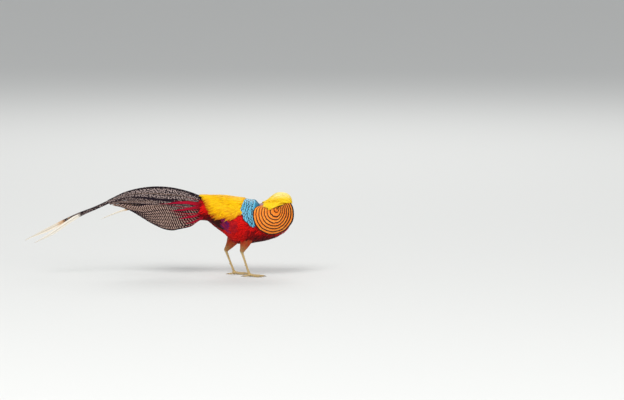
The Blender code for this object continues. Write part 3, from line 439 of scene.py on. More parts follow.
def buildStreaks():  # long silky streaks that run along a lock
    group, given, out = newGroup("silkStreaks", {"Fineness": 4.0}, "Streaks")
    sideways = mathNode(group, "MULTIPLY", given["Across"], given["Fineness"])
    along = mathNode(group, "MULTIPLY", given["Along"], 1.6)
    seed = mathNode(group, "MULTIPLY", given["Tone"], 31.0)
    streaks = textureNode(group, "Noise", vectorOf(group, sideways, along, seed), 1.0, Detail=2.0)
    group.links.new(streaks, out["Streaks"])
    return group


barbsGroup = buildBarbs()
streaksGroup = buildStreaks()


def addGroup(tree, group, **given):
    node = tree.nodes.new("ShaderNodeGroup")
    node.node_tree = group
    for label, value in given.items():
        feed(tree, node.inputs[label], value)
    return node.outputs


def newMaterial(name, roughness=0.6, specular=0.3, coat=0.0):
    made = bpy.data.materials.new(name)
    made.use_nodes = True
    shader = made.node_tree.nodes["Principled BSDF"]
    shader.inputs["Roughness"].default_value = roughness
    shader.inputs["Specular IOR Level"].default_value = specular
    shader.inputs["Coat Weight"].default_value = coat
    return made, made.node_tree, shader


def finishLook(tree, shader, colour, height, strength, distance=0.0004):  # its colour, and a bump by height
    tree.links.new(colour, shader.inputs["Base Color"])
    bump = tree.nodes.new("ShaderNodeBump")
    for label, value in {"Height": height, "Strength": strength, "Distance": distance}.items():
        feed(tree, bump.inputs[label], value)
    tree.links.new(bump.outputs[0], shader.inputs["Normal"])


# What a feather's look leaves out. shaded: the lines' values where the dark ends and the full colour starts.
plainFeather = {
    "roughness": 0.6, "specular": 0.06, "density": 26.0, "slant": 0.4, "bump": 0.35, "shaded": (0.35, 0.62),
}


def startFeather(name, look):  # a material with what a feather's patterns read: across -1 to 1, along 0 to 1
    made, tree, shader = newMaterial(name, look["roughness"], look["specular"])
    spot = tree.nodes.new("ShaderNodeUVMap")
    spot.uv_map = "vane"
    parts = tree.nodes.new("ShaderNodeSeparateXYZ")
    tree.links.new(spot.outputs[0], parts.inputs[0])
    vane = {"Across": mathNode(tree, "MULTIPLY_ADD", parts.outputs[0], 2.0, -1.0), "Along": parts.outputs[1]}
    vane["Tone"] = valueOf(tree, "tone")
    if "fineness" in look:
        vane["Lines"] = addGroup(tree, streaksGroup, **vane, Fineness=look["fineness"])["Streaks"]
    else:
        barbs = addGroup(tree, barbsGroup, **vane, Density=look["density"], Slant=look["slant"])
        vane |= {"Lines": barbs["Lines"], "Shaft": barbs["Shaft"]}
    return made, tree, shader, vane


def darkened(tree, look, colour, lines):
    shade = rampNode(tree, lines, list(zip(look["shaded"], (look["dark"], 1))))
    return mixNode(tree, 1.0, colour, shade, "MULTIPLY")


# A feather coloured along its length, shaded by its barbs or streaks and its own tone. marks adds a pattern.
def featherMaterial(name, look, marks=None):
    look = plainFeather | look
    made, tree, shader, vane = startFeather(name, look)
    ramps = [rampNode(tree, vane["Along"], look[key]) for key in ("along", "other")]
    colour = mixNode(tree, vane["Tone"], *ramps)
    if "deep" in look:
        colour = mixNode(tree, valueOf(tree, "deep"), colour, look["deep"])
    if marks:
        colour = marks(tree, colour, vane)
    colour = darkened(tree, look, colour, vane["Lines"])
    finishLook(tree, shader, colour, vane["Lines"], look["bump"])
    return made


print("helpers ready")

# The skin: one closed body under the coat, from rings that are extruded one after another.
skinLook = {
    "inset": 0.0032, "neckInset": 0.002, "thighInset": 0.0022, "least": 0.0015, "leastThigh": 0.0034,
    "sides": 40, "thighSides": 24, "thighRings": 14, "voxel": 0.0014, "smooth": 5, "softness": 0.6,
    "crestCore": 0.78, "crestMiddle": 0.252, "crestLength": 0.9, "grain": 900.0,
    "material": {"dark": 0.62, "shaded": (0.3, 0.7)},
}
skinColours = {
    "scarlet": (0.42, 0.01, 0.008), "gold": (0.8, 0.42, 0.01), "mantle": (0.03, 0.16, 0.24),
    "collar": (0.62, 0.22, 0.02), "face": (0.56, 0.3, 0.09), "bare": (0.8, 0.55, 0.1),
    "crown": (0.85, 0.45, 0.01), "tail": (0.36, 0.006, 0.008), "thigh": (0.4, 0.16, 0.06),
}


def extrudedRings(name, rings, sides):  # rings: x, y, z of the middle, half height, half width
    x, y, z, high, wide = rings[0]
    facingX = (0, math.pi / 2, 0)
    bpy.ops.mesh.primitive_circle_add(vertices=sides, radius=1, fill_type="NGON", rotation=facingX)
    made = bpy.context.object
    made.name = name
    bpy.ops.object.transform_apply(location=False, rotation=True, scale=False)
    bpy.ops.object.mode_set(mode="EDIT")
    bpy.ops.mesh.select_all(action="SELECT")
    bpy.ops.transform.resize(value=(1, wide, high), center_override=(0, 0, 0))
    bpy.ops.transform.translate(value=(x, y, z))
    for before, after in zip(rings, rings[1:]):
        step = [after[i] - before[i] for i in range(3)]
        bpy.ops.mesh.extrude_region_move(TRANSFORM_OT_translate={"value": step})
        grow = (1, after[4] / before[4], after[3] / before[3])
        bpy.ops.transform.resize(value=grow, center_override=after[:3])
    bpy.ops.mesh.select_all(action="SELECT")
    bpy.ops.mesh.normals_make_consistent(inside=False)
    bpy.ops.object.mode_set(mode="OBJECT")
    return made


def selectOnly(*pieces):
    bpy.ops.object.select_all(action="DESELECT")
    for each in pieces:
        each.select_set(True)
    bpy.context.view_layer.objects.active = pieces[0]


def applyModifier(made, kind, **settings):
    selectOnly(made)
    change = made.modifiers.new(kind.lower(), kind)
    for key, value in settings.items():
        setattr(change, key, value)
    bpy.ops.object.modifier_apply(modifier=change.name)


def joinPieces(name, pieces):
    selectOnly(*pieces)
    bpy.ops.object.join()
    made = bpy.context.object
    made.name = made.data.name = name
    return made


def ringsOf(stations, inset, count):
    least = skinLook["least"]
    table = smoothTable(stations, count)
    return [(x, 0, z, max(high - inset, least), max(wide - inset, least)) for x, z, high, wide in table]


def headMatrix(place=headLook["place"]):
    return Matrix.Translation(Vector(place)) @ Matrix.Rotation(headLook["dip"], 4, "Y")


def headRings(name, stations, count, sides):  # rings about the head's own middle line
    made = extrudedRings(name, [(f, 0, u, h, w) for f, u, h, w in smoothTable(stations, count)], sides)
    made.data.transform(headMatrix())
    return made


legLook = {
    right: {
        "hip": (0.15, 0.024, 0.16), "hock": (0.138, 0.032, 0.083), "foot": (0.163, 0.031, 0.0085),
        "turn": -4,
    },
    left: {
        "hip": (0.122, 0.024, 0.16), "hock": (0.084, 0.032, 0.08), "foot": (0.112, 0.03, 0.0085),
        "turn": 5,
    },
    "thigh": [(0, 0.02), (0.2, 0.0275), (0.45, 0.0235), (0.68, 0.015), (0.88, 0.0088), (1.0, 0.0056)],
}


def legPoint(side, name):
    x, out, z = legLook[side][name]
    return np.array((x, -side * out, z))


def thighForm(side):  # a path and its radii from the hip to the hock
    hip, hock = legPoint(side, "hip"), legPoint(side, "hock")
    shares = np.linspace(0, 1, 60)
    radii = pairsAt(legLook["thigh"], shares)
    radii = np.convolve(np.pad(radii, 3, "edge"), np.ones(7) / 7, "valid")
    path = hip + (hock - hip) * shares[:, None]
    path[:, 0] += 0.007 * np.sin(math.pi * shares)
    return {"path": path, "radii": radii, "shares": shares}


def radiusAt(form, share):
    return np.interp(share, form["shares"], form["radii"])


def overPath(form, share, angle, height):  # angle 0 looks ahead, and grows towards the right side
    path = form["path"]
    run = unit(np.gradient(path, axis=0))
    ahead = np.array((1.0, 0.0, 0.0))
    ahead = unit(ahead - run * (run @ ahead)[:, None])
    beside = np.cross(run, ahead)
    beside = np.where(beside[:, 1:2] > 0, -beside, beside)

    def at(table):
        return np.stack([np.interp(share, form["shares"], table[:, i]) for i in range(3)], -1)

    out = unit(at(ahead) * np.cos(angle)[..., None] + at(beside) * np.sin(angle)[..., None])
    return at(path) + out * (radiusAt(form, share) + height)[..., None], out


def markings(points):  # the colours that the skin shares with its coat; a later region covers an earlier one
    x, y, z = points.T
    _, middle, high, wide = sectionAt(torso, x)
    theta = np.degrees(np.arctan2(np.abs(y) / wide, (z - middle) / high))
    dx, _, dz = (points - np.array(headPoint(*headLook["eye"]))).T
    bare = np.hypot(dx, dz) < 0.0095
    face = (x > 0.249) & (z > 0.213)
    _, crestZ, crestHigh, _ = sectionAt(crest, x)
    regions = {
        "gold": (theta < 78) & (x < 0.15),
        "mantle": (theta < 98) & (x >= 0.136) & (x < 0.2),
        "collar": (x >= 0.2) & (z > 0.195),
        "face": face,
        "bare": bare & face,
        "crown": (x > 0.206) & (z > crestZ - crestHigh * 0.9) & (z > 0.232) & ~bare,
        "tail": x < 0.022,
        "thigh": z < 0.112,
    }
    colours = np.tile(skinColours["scarlet"], (len(points), 1))
    for name, region in regions.items():
        colours[region] = skinColours[name]
    return colours


def skinMaterial():
    made, tree, shader = newMaterial("featheredSkin", 0.75, 0.05)
    grain = textureNode(tree, "Noise", objectPlace(tree), skinLook["grain"])
    colour = darkened(tree, skinLook["material"], valueOf(tree, "markings", "Color"), grain)
    finishLook(tree, shader, colour, grain, 0.5)
    return made


def thighCore(side):
    form = thighForm(side)
    rings = []
    for share in np.linspace(0, 1, skinLook["thighRings"]):
        x, y, z = (float(np.interp(share, form["shares"], column)) for column in form["path"].T)
        radius = float(radiusAt(form, share)) - skinLook["thighInset"]
        rings.append((z, y, -x, *[max(radius, skinLook["leastThigh"])] * 2))
    core = extrudedRings("thighRings", rings, skinLook["thighSides"])
    core.data.transform(Matrix.Rotation(math.radians(-90), 4, "Y"))
    return core


def crestCore():
    core, middle, shorter = skinLook["crestCore"], skinLook["crestMiddle"], skinLook["crestLength"]
    table = smoothTable(bodyStations["crest"], 16)
    rings = [(middle + (x - middle) * shorter, 0, z, high * core, wide * core) for x, z, high, wide in table]
    return extrudedRings("crestRings", rings, skinLook["sides"])


def makeSkin():
    look = skinLook
    counts = {"torso": (look["inset"], 22), "neck": (look["neckInset"], 12), "tailBase": (look["inset"], 10)}
    parts = [extrudedRings(name + "Rings", ringsOf(bodyStations[name], *count), look["sides"])
             for name, count in counts.items()]
    parts.append(headRings("skullRings", skullStations, 16, look["sides"]))
    parts.append(crestCore())
    parts += [thighCore(side) for side in (right, left)]
    skin = joinPieces("skin", parts)
    applyModifier(skin, "REMESH", mode="VOXEL", voxel_size=look["voxel"])
    applyModifier(skin, "SMOOTH", factor=look["softness"], iterations=look["smooth"])
    bpy.ops.object.shade_smooth()
    points = pointsOf(skin)
    colours = np.concatenate([markings(points), np.ones((len(points), 1))], 1)
    layer = skin.data.attributes.new("markings", "FLOAT_COLOR", "POINT")
    layer.data.foreach_set("color", colours.astype(np.float32).ravel())
    dress(skin, skinMaterial())
    return finishPiece(skin, "body_plumage", "torso", "neck", "head", "thigh_right", "thigh_left")


skin = makeSkin()
print("skin ready", len(skin.data.polygons))

vaneRows = [0, 0.25, 0.5, 0.7, 0.86, 0.96, 1]

# Scarlet feathers of breast, belly, sides and vent.
scarletLook = {
    "first": 0.296, "last": 0.02, "step": 0.0046, "spacing": 0.0046, "length": 0.026, "half": 0.0031,
    "lift": 0.0024, "lean": 24, "cup": 0.25, "wave": 0.35, "thick": [0.0005],
    "above": 58, "ahead": 0.24,  # hidden above this angle, save in front of this x
    "front": (0.24, 0.29), "smaller": 0.35, "leaning": (20, 60), "upright": (120, 170),  # by x, and by angle
    "lowest": (0.13, 0.108), "belly": (0.166, 0.138), "chest": (0.13, 0.17), "uneven": 0.13,  # painted shade: the feathers darken towards the bottom of the body
    "vent": (0.1, 0.078), "ventLow": (98, 110),
    "outline": [(0, 0.5), (0.25, 0.9), (0.5, 1.0), (0.72, 0.85), (0.88, 0.5), (1, 0.06)],
    "rowsAt": [0, 0.22, 0.45, 0.68, 0.86, 1],
    "material": {
        "along": [(0.0, (0.4, 0.003, 0.003)), (0.45, (0.84, 0.006, 0.005)), (1.0, (0.98, 0.014, 0.008))],
        "other": [(0.0, (0.2, 0.002, 0.003)), (0.45, (0.55, 0.003, 0.004)), (1.0, (0.78, 0.006, 0.006))],
        # deep: the colour of the painted shade under the body
        "deep": (0.08, 0.002, 0.004), "dark": 0.5, "density": 30.0, "slant": 0.5,
        "roughness": 0.5, "bump": 0.4,
    },
}

breastLook = {
    "axis": 0.222, "levels": (0.1285, 0.224), "first": 0.214, "last": 0.15, "reach": 70, "lean": 44,
    "length": 0.0215, "lift": 0.0028, "inset": 0.004, "narrower": 0.001, "clear": -0.0015,
    "behind": 0.266, "under": (115, 0.286),  # the belly's feathers end here, or lower down at this x
    # painted shade: the breast darkens towards the bottom between these heights
    "dark": (0.17, 0.128),
}


def bodyPlumage(name, form, rng, roots, deep, noise, material, turned=None):  # deep: how dark each one is
    look = scarletLook
    rowsAt = look["rowsAt"]
    laid = layFeathers(form, rng, roots, look["outline"], rowsAt, 3, cup=look["cup"], wave=look["wave"])
    if turned:
        laid = turned(*laid)
    values = {"tone": rng.random(len(deep))}
    values["deep"] = np.clip(deep + noise * rng.normal(0, 1, len(deep)), 0, 1)
    return makePlumage(name, "body_plumage", laid, values, material, rowsAt, look["thick"])


def makeScarlet():
    rng = np.random.default_rng(21)
    look = scarletLook
    xs = np.arange(look["first"], look["last"], -look["step"])
    x, angle = rootRows(torso, rng, xs, -180, 180, look["spacing"])
    degrees = np.degrees(np.abs(angle))
    lower, nearer = breastLook["under"]
    keep = (degrees > look["above"]) | (x > look["ahead"])
    keep &= (x < breastLook["behind"]) | ((degrees > lower) & (x < nearer))
    x, angle, degrees = x[keep], angle[keep], degrees[keep]
    count = len(x)
    front = eased(*look["front"], x)
    smaller = 1 - look["smaller"] * front
    leaning = eased(*look["leaning"], degrees) * (1 - eased(*look["upright"], degrees))
    lean = np.sign(angle) * np.radians(look["lean"]) * leaning
    roots = {
        "x": x, "angle": angle, "lean": lean * (1 - 0.5 * front) + rng.normal(0, 0.07, count),
        "length": spread(rng, count, look["length"], 0.18) * smaller,
        "half": spread(rng, count, look["half"], 0.15) * smaller,
        "lift": spread(rng, count, look["lift"], 0.5),
    }
    height = skinAt(torso, shareAt(torso, x), angle)[:, 2]
    # painted shade: darker low on the belly and towards its front, darker still lowest down, and under the
    # vent
    deep = eased(*look["belly"], height) * eased(*look["chest"], x) + 0.45 * eased(*look["lowest"], height)
    deep = deep + 0.9 * eased(*look["vent"], x) * eased(*look["ventLow"], degrees)
    material = featherMaterial("scarletFeather", look["material"])
    return bodyPlumage("scarletFeathers", torso, rng, roots, deep, look["uneven"] * (deep > 0.02), material)


scarlet = makeScarlet()


def breastForm():  # the front of the body as a form that stands upright: its sections are level ones
    _, middle, high, _ = sample(torso["table"], torso["shares"])
    look = breastLook
    turns = np.radians((30, 45, 60, 75))
    stations = []
    for level in np.linspace(*look["levels"], 14):
        ahead = torso["xs"][np.abs(level - middle) < high].max() - look["axis"] - look["inset"]
        wide = depthAt(torso, look["axis"] + ahead * np.cos(turns), level) / np.sin(turns)  # inside the body
        stations.append((level, look["axis"], ahead, max(wide.min() - look["narrower"], 0.004)))
    return makeForm(stations)


def uprightBreast(middle, normal, places):  # from the form's own axes to the bird's
    middle, normal = (np.stack([each[..., 2], -each[..., 1], each[..., 0]], -1) for each in (middle, normal))
    return pushOut(torso, middle, breastLook["clear"]), normal, places


def makeBreast():  # these run down from the throat
    rng = np.random.default_rng(25)
    look, plumage = breastLook, scarletLook
    form = breastForm()
    xs = np.arange(look["first"], look["last"], -plumage["step"])
    x, angle = rootRows(form, rng, xs, -look["reach"], look["reach"], plumage["spacing"])
    count = len(x)
    aside = angle / math.radians(look["reach"])
    roots = {
        "x": x, "angle": angle, "lean": aside * math.radians(look["lean"]) + rng.normal(0, 0.08, count),
        "length": spread(rng, count, look["length"], 0.18), "half": spread(rng, count, plumage["half"], 0.15),
        "lift": look["lift"] * (1 - 0.5 * np.abs(aside)) * spread(rng, count, 1.0, 0.3),
    }
    # painted shade: darker lower down the breast
    deep = eased(*look["dark"], x)
    material = scarlet.data.materials[0]
    noise = plumage["uneven"] * (deep > 0.02)
    return bodyPlumage("breastFeathers", form, rng, roots, deep, noise, material, uprightBreast)


makeBreast()
print("scarlet feathers ready", len(scarlet.data.polygons))

rumpLook = {
    "first": 0.044, "last": 0.012, "step": 0.0036, "spacing": 0.004, "length": 0.027, "half": 0.0028,
    "lift": 0.0016, "reach": (-178, 178), "dark": (62, 30),
    "material": {
        "along": [(0.0, (0.26, 0.003, 0.004)), (0.45, (0.56, 0.005, 0.006)), (1.0, (0.68, 0.01, 0.009))],
        "deep": (0.055, 0.01, 0.01),
    },
}


def makeRump():  # longer scarlet feathers that close the body round the root of the tail
    rng = np.random.default_rng(24)
    look = rumpLook
    form = forms["tailBase"]
    xs = np.arange(look["first"], look["last"], -look["step"])
    inside = np.clip(xs, form["xs"][0], form["xs"][-1])
    rooted = [rootRows(form, rng, [x], *look["reach"], look["spacing"]) for x in inside]
    x = np.concatenate([row[0] + full - within for row, full, within in zip(rooted, xs, inside)])
    angle = np.concatenate([row[1] for row in rooted])
    count = len(x)
    roots = {
        "x": x, "angle": angle, "lean": rng.normal(0, 0.06, count),
        **varied(rng, count, look, length=0.2, half=0.2, lift=0.5),
    }
    deep = eased(*look["dark"], np.abs(np.degrees(angle)))
    material = featherMaterial("rumpFeather", scarletLook["material"] | look["material"])
    return bodyPlumage("rumpFeathers", form, rng, roots, deep, 0.1, material)


makeRump()

# Mantle: rows of round blue-green scales with dark edges.
mantleLook = {
    "first": 0.195, "last": 0.152, "rows": 9, "reach": (-72, 95), "spacing": 0.0085, "length": 0.022,
    "half": 0.0068, "lift": 0.0064, "jitter": 0.12, "thick": [0.0004, 0.0001],
    "outline": [(0, 0.4), (0.3, 0.85), (0.6, 1.0), (0.82, 0.9), (0.94, 0.62), (1, 0.25)],
    "border": [(0, 0.148), (30, 0.139), (57, 0.131), (74, 0.143), (97, 0.174), (110, 0.195)],  # tips by angle
    "material": {"roughness": 0.38, "specular": 0.3, "density": 40.0, "dark": 0.72, "bump": 0.25},
    "scale": [  # the colours of one scale from its root to its dark edge; the pale band at 0.85 is a painted highlight
        (0.0, (0.02, 0.18, 0.31)), (0.6, (0.03, 0.25, 0.42)), (0.74, (0.1, 0.47, 0.72)),
        (0.85, (0.31, 0.67, 0.85)), (0.895, (0.03, 0.16, 0.26)), (0.925, (0.006, 0.022, 0.04)),
        (1.0, (0.005, 0.012, 0.02)),
    ],
    "green": (0.03, 0.33, 0.26), "greenest": 0.55, "rounded": 0.17,
}


def mantleBorder(degrees):  # where the tips of the mantle end, by angle from the ridge of the back
    return pairsAt(mantleLook["border"], degrees)


def mantleMaterial():
    look = plainFeather | mantleLook["material"]
    made, tree, shader, vane = startFeather("mantleScale", look)
    away = mathNode(tree, "POWER", mathNode(tree, "ABSOLUTE", vane["Across"]), 2.4)
    edge = mathNode(tree, "MULTIPLY_ADD", away, mantleLook["rounded"], vane["Along"])
    base = rampNode(tree, edge, mantleLook["scale"])
    tint = mathNode(tree, "MULTIPLY", vane["Tone"], mantleLook["greenest"])
    green = mixNode(tree, tint, base, mantleLook["green"], "SOFT_LIGHT")
    finishLook(tree, shader, darkened(tree, look, green, vane["Lines"]), vane["Lines"], look["bump"])
    return made


def makeMantle():
    rng = np.random.default_rng(22)
    look = mantleLook
    xs = np.linspace(look["first"], look["last"], look["rows"])
    x, angle = rootRows(torso, rng, xs, *look["reach"], look["spacing"], look["jitter"])
    keep = x - look["length"] > mantleBorder(np.degrees(np.abs(angle))) - 0.0025
    x, angle = x[keep], angle[keep]
    count = len(x)
    rank = (look["first"] - x) / (look["first"] - look["last"])
    roots = {
        "x": x, "angle": angle, "lean": rng.normal(0, 0.03, count),
        **varied(rng, count, look, length=0.06, half=0.08),
        "lift": look["lift"] + 0.001 * (1 - rank) + rng.normal(0, 0.0003, count),
    }
    laid = layFeathers(torso, rng, roots, look["outline"], vaneRows, 7, cup=0.1)
    values = {"tone": rng.random(count)}
    material = mantleMaterial()
    return makePlumage("mantleFeathers", "body_plumage", laid, values, material, vaneRows, look["thick"])


mantle = makeMantle()
print("mantle ready", len(mantle.data.polygons))

# Back and rump: long silky golden plumes that part over the back and droop to a loose fringe.
goldLook = {
    "count": 3700, "half": 0.0021, "length": 0.05, "overlap": 0.009, "behind": 0.01, "lean": 0.86,
    "sparse": 0.62, "shortest": 0.014, "lift": 0.0056, "raised": 0.0034, "thick": [0.0006],
    "parting": (12, 108), "longer": (60, 110), "raisedBy": ((0.02, 0.1), (80, 40)), "radius": 0.06,
    "curves": {"cup": 0.2, "sink": 0.0025, "wave": 0.5, "full": 0.4},
    "edge": [(-0.004, 12), (0.005, 38), (0.017, 66), (0.028, 97), (0.038, 118), (0.048, 119), (0.07, 109),
             (0.1, 93), (0.13, 72), (0.15, 45)],  # how far round the body the tips reach, by x
    "outline": [(0, 0.5), (0.25, 1.0), (0.6, 0.9), (0.85, 0.5), (1, 0.06)],
    "rowsAt": [0, 0.12, 0.28, 0.45, 0.62, 0.78, 0.9, 1],
    "material": {
        "along": [(0.0, (0.9, 0.4, 0.0)), (0.35, (0.97, 0.62, 0.0)), (1.0, (0.98, 0.68, 0.002))],
        "other": [(0.0, (0.76, 0.26, 0.0)), (0.35, (0.96, 0.45, 0.0)), (1.0, (1.0, 0.53, 0.001))],
        "roughness": 0.45, "specular": 0.08, "fineness": 3.0, "bump": 0.6, "dark": (0.74, 0.61, 0.38),
        "shaded": (0.34, 0.58),
    },
    "tips": [(0.45, 0), (0.7, 0.7), (0.9, 1)], "red": (0.52, 0.034, 0.005),
}


def redTips(tree, colour, vane):  # the fringe of the golden coat
    tips = rampNode(tree, vane["Along"], goldLook["tips"])
    return mixNode(tree, mathNode(tree, "MULTIPLY", tips, valueOf(tree, "fringe")), colour, goldLook["red"])


def makeGold():
    rng = np.random.default_rng(23)
    look = goldLook
    tipX = rng.uniform(look["edge"][0][0], look["edge"][-1][0], look["count"])
    reach = pairsAt(look["edge"], tipX)
    share = rng.uniform(-1, 1, look["count"])
    degrees = np.abs(share) * reach
    keep = tipX < mantleBorder(degrees) - look["behind"]
    tipX, share, degrees = tipX[keep], share[keep], degrees[keep]
    lean = look["lean"] * eased(*look["parting"], degrees)
    length = spread(rng, len(tipX), look["length"], 0.2) * (1 + 0.25 * eased(*look["longer"], degrees))
    firstRoot = mantleBorder(degrees) + look["overlap"]
    length = np.clip(np.minimum(length, (firstRoot - tipX) / np.cos(lean)), look["shortest"], None)
    x = tipX + np.cos(lean) * length
    around = np.sin(lean) * length / look["radius"]
    angle = np.sign(share) * np.maximum(np.radians(degrees) - around, 0.0)
    count = len(x)
    behind, above = look["raisedBy"]
    raised = look["raised"] * eased(*behind, tipX) * eased(*above, degrees)
    roots = {
        "x": x, "angle": angle, "length": length, "lean": np.sign(share) * lean + rng.normal(0, 0.05, count),
        "half": spread(rng, count, look["half"], 0.25),
        "lift": look["lift"] + raised + rng.normal(0, 0.0006, count),
    }
    rowsAt = look["rowsAt"]
    laid = layFeathers(torso, rng, roots, look["outline"], rowsAt, 3, **look["curves"])
    border = np.clip((np.abs(share) - look["sparse"]) / (1 - look["sparse"]), 0, 1) * eased(20, 60, degrees)
    values = {"tone": rng.random(count), "fringe": border * rng.uniform(0.3, 1.0, count)}
    material = featherMaterial("goldPlume", look["material"], redTips)
    return makePlumage("goldPlumes", "body_plumage", laid, values, material, rowsAt, look["thick"])


gold = makeGold()
print("golden plumes ready", len(gold.data.polygons))

# Cape: tiers of square-ended orange feathers with a blue-black bar, fanned about a focus below the eye.
capeLook = {
    "focus": (0.257, 0.2285), "centre": (0.243, 0.2075), "radius": 0.0675, "root": (0.2552, 0.2256),
    "rootSpread": 0.0025, "overBody": 0.0085, "overNeck": 0.002, "overFace": 0.0195, "flare": 0.004,
    "shown": 0.34, "tiers": 9, "sector": (20, -200), "closing": (-178, -204), "closed": 0.7, "crowd": 0.45,
    "step": 0.00068, "shingle": 0.00035, "length": 0.3, "bar": 0.042, "wider": 0.008,
    "most": (12, 22), "perTurn": 3.5, "ends": 0.0022, "overlap": 0.72, "rooted": 0.0016,
    "folded": (-116, -190), "foldedEnds": [0.3, 0.42, 0.54, 0.66, 0.76, 0.82],
    "outline": [(0, 0.45), (0.3, 0.85), (0.75, 1.0), (0.95, 0.98), (1, 0.92)], "thick": (0.0003, 0.0001),
    "rowsAt": [0, 0.2, 0.4, 0.58, 0.74, 0.87, 0.95, 0.985, 1.0], "columns": 9, "patch": 0.03,
    "material": {
        "along": [(0.0, (0.5, 0.07, 0.005)), (0.6, (0.92, 0.21, 0.016)), (1.0, (0.98, 0.3, 0.045))],
        "other": [(0.0, (0.5, 0.08, 0.008)), (0.6, (0.98, 0.29, 0.025)), (1.0, (1.0, 0.4, 0.075))],
        "roughness": 0.5, "specular": 0.1, "density": 30.0, "slant": 0.25, "bump": 0.4,
        "dark": (0.76, 0.7, 0.66), "shaded": (0.3, 0.6),
    },
    "ring": (0.038, 0.01, 0.008), "ragged": 0.035, "sharp": 26.0,
}


def capeDepth(x, z):
    body = depthAt(torso, x, z) + capeLook["overBody"]
    collar = depthAt(neck, x, z) + capeLook["overNeck"]
    face = capeLook["overFace"] + capeLook["flare"] * eased(0.27, 0.31, x)
    return (body**9 + collar**9 + face**9) ** (1 / 9)


def capePoint(share, turn, side, height):
    look = capeLook
    wayX, wayZ = np.cos(turn), np.sin(turn)
    focusX, focusZ = look["focus"]
    offX, offZ = focusX - look["centre"][0], focusZ - look["centre"][1]
    b = -(offX * wayX + offZ * wayZ)
    rim = b + np.sqrt(b * b + look["radius"] ** 2 - offX**2 - offZ**2)
    blend = eased(0.0, look["shown"], share)
    rim = rim * (1 - look["closed"] * eased(*np.radians(look["closing"]), turn))  # its upper hind corner
    rim = rim * np.maximum(share, 0) ** (1 + look["crowd"] * np.maximum(wayX, 0))  # closer rings in front
    x = (look["root"][0] + look["rootSpread"] * wayX) * (1 - blend) + (focusX + rim * wayX) * blend
    z = (look["root"][1] + look["rootSpread"] * wayZ) * (1 - blend) + (focusZ + rim * wayZ) * blend
    return np.stack([x, -side * (capeDepth(x, z) + height), z], -1)


def darkRings(tree, colour, vane):  # the bar across the end of each feather
    uneven = mathNode(tree, "MULTIPLY", mathNode(tree, "SUBTRACT", vane["Lines"], 0.5), capeLook["ragged"])
    place = mathNode(tree, "ADD", vane["Along"], uneven)
    start = mathNode(tree, "SUBTRACT", 1.0, valueOf(tree, "bar"))
    past = mathNode(tree, "MULTIPLY", mathNode(tree, "SUBTRACT", place, start), capeLook["sharp"])
    return mixNode(tree, clampNode(tree, past), colour, capeLook["ring"])


capeFinish = featherMaterial("capeFeather", capeLook["material"], darkRings)


def makeCape(side, name, node, sector, ends, seed):
    rng = np.random.default_rng(seed)
    look = capeLook
    first, last = (math.radians(a) for a in sector)
    t, a = vaneGrid(look["rowsAt"], look["columns"])
    shape = pairsAt(look["outline"], t)
    grids, places, bars = [], [], []
    for tier, end in enumerate(ends):
        count = int(round((look["most"][0] + look["most"][1] * end) * abs(last - first) / look["perTurn"]))
        step = (last - first) / count
        number = np.arange(count)
        turn = perFeather(first + step * (number + 0.5)) + rng.normal(0, 0.04, (count, 1, 1)) * step
        tip = end + rng.normal(0, 0.004, (count, 1, 1))
        start = np.maximum(tip - look["length"], 0.0)
        ragged = rng.normal(0, look["ends"], (count, 1, look["columns"])) * eased(0.8, 1.0, t)
        share = start + (tip - start) * t - 0.006 * a * a * t + ragged
        angle = turn + step * look["overlap"] * shape * a
        under = look["step"] * (len(ends) - 1 - tier) + look["shingle"] * perFeather(number % 2)
        uneven = rng.normal(0, 0.00008, (count, 1, 1))
        height = under - look["rooted"] * (1 - eased(0, 0.4, t)) + uneven - 0.0003 * a * a
        grids.append(capePoint(share, angle, side, height + 0 * share))
        places.append(np.stack([0.05 + 0.9 * (number + 0.5) / count, np.full(count, 0.05 + 0.9 * end)], -1))
        forward = np.cos(turn[:, 0, 0])
        ahead = 1 + 0.25 * np.maximum(forward, 0) + 0.2 * np.minimum(forward, 0)
        apart = look["bar"] + look["wider"] * end + look["wider"] * (end > 0.99)
        bars.append(apart * ahead / (tip - start)[:, 0, 0])
    middle, spots = np.concatenate(grids), np.concatenate(places)
    values = {"tone": rng.random(len(middle)), "bar": np.concatenate(bars)}
    thick = thickness(look["rowsAt"], look["columns"], *look["thick"])
    out = np.array((0.0, -side, 0.0))
    made = feathersMesh(name, middle, out, thick, spots, values, capeFinish, look["patch"], look["rowsAt"])
    return finishPiece(made, "cape_plumage", node)


tierEnds = [(k + 1) / capeLook["tiers"] for k in range(capeLook["tiers"])]
cape = makeCape(right, "capeShown", "cape_right", capeLook["sector"], tierEnds, 31)
makeCape(left, "capeFolded", "cape_left", capeLook["folded"], capeLook["foldedEnds"], 32)
print("cape ready", len(cape.data.polygons))

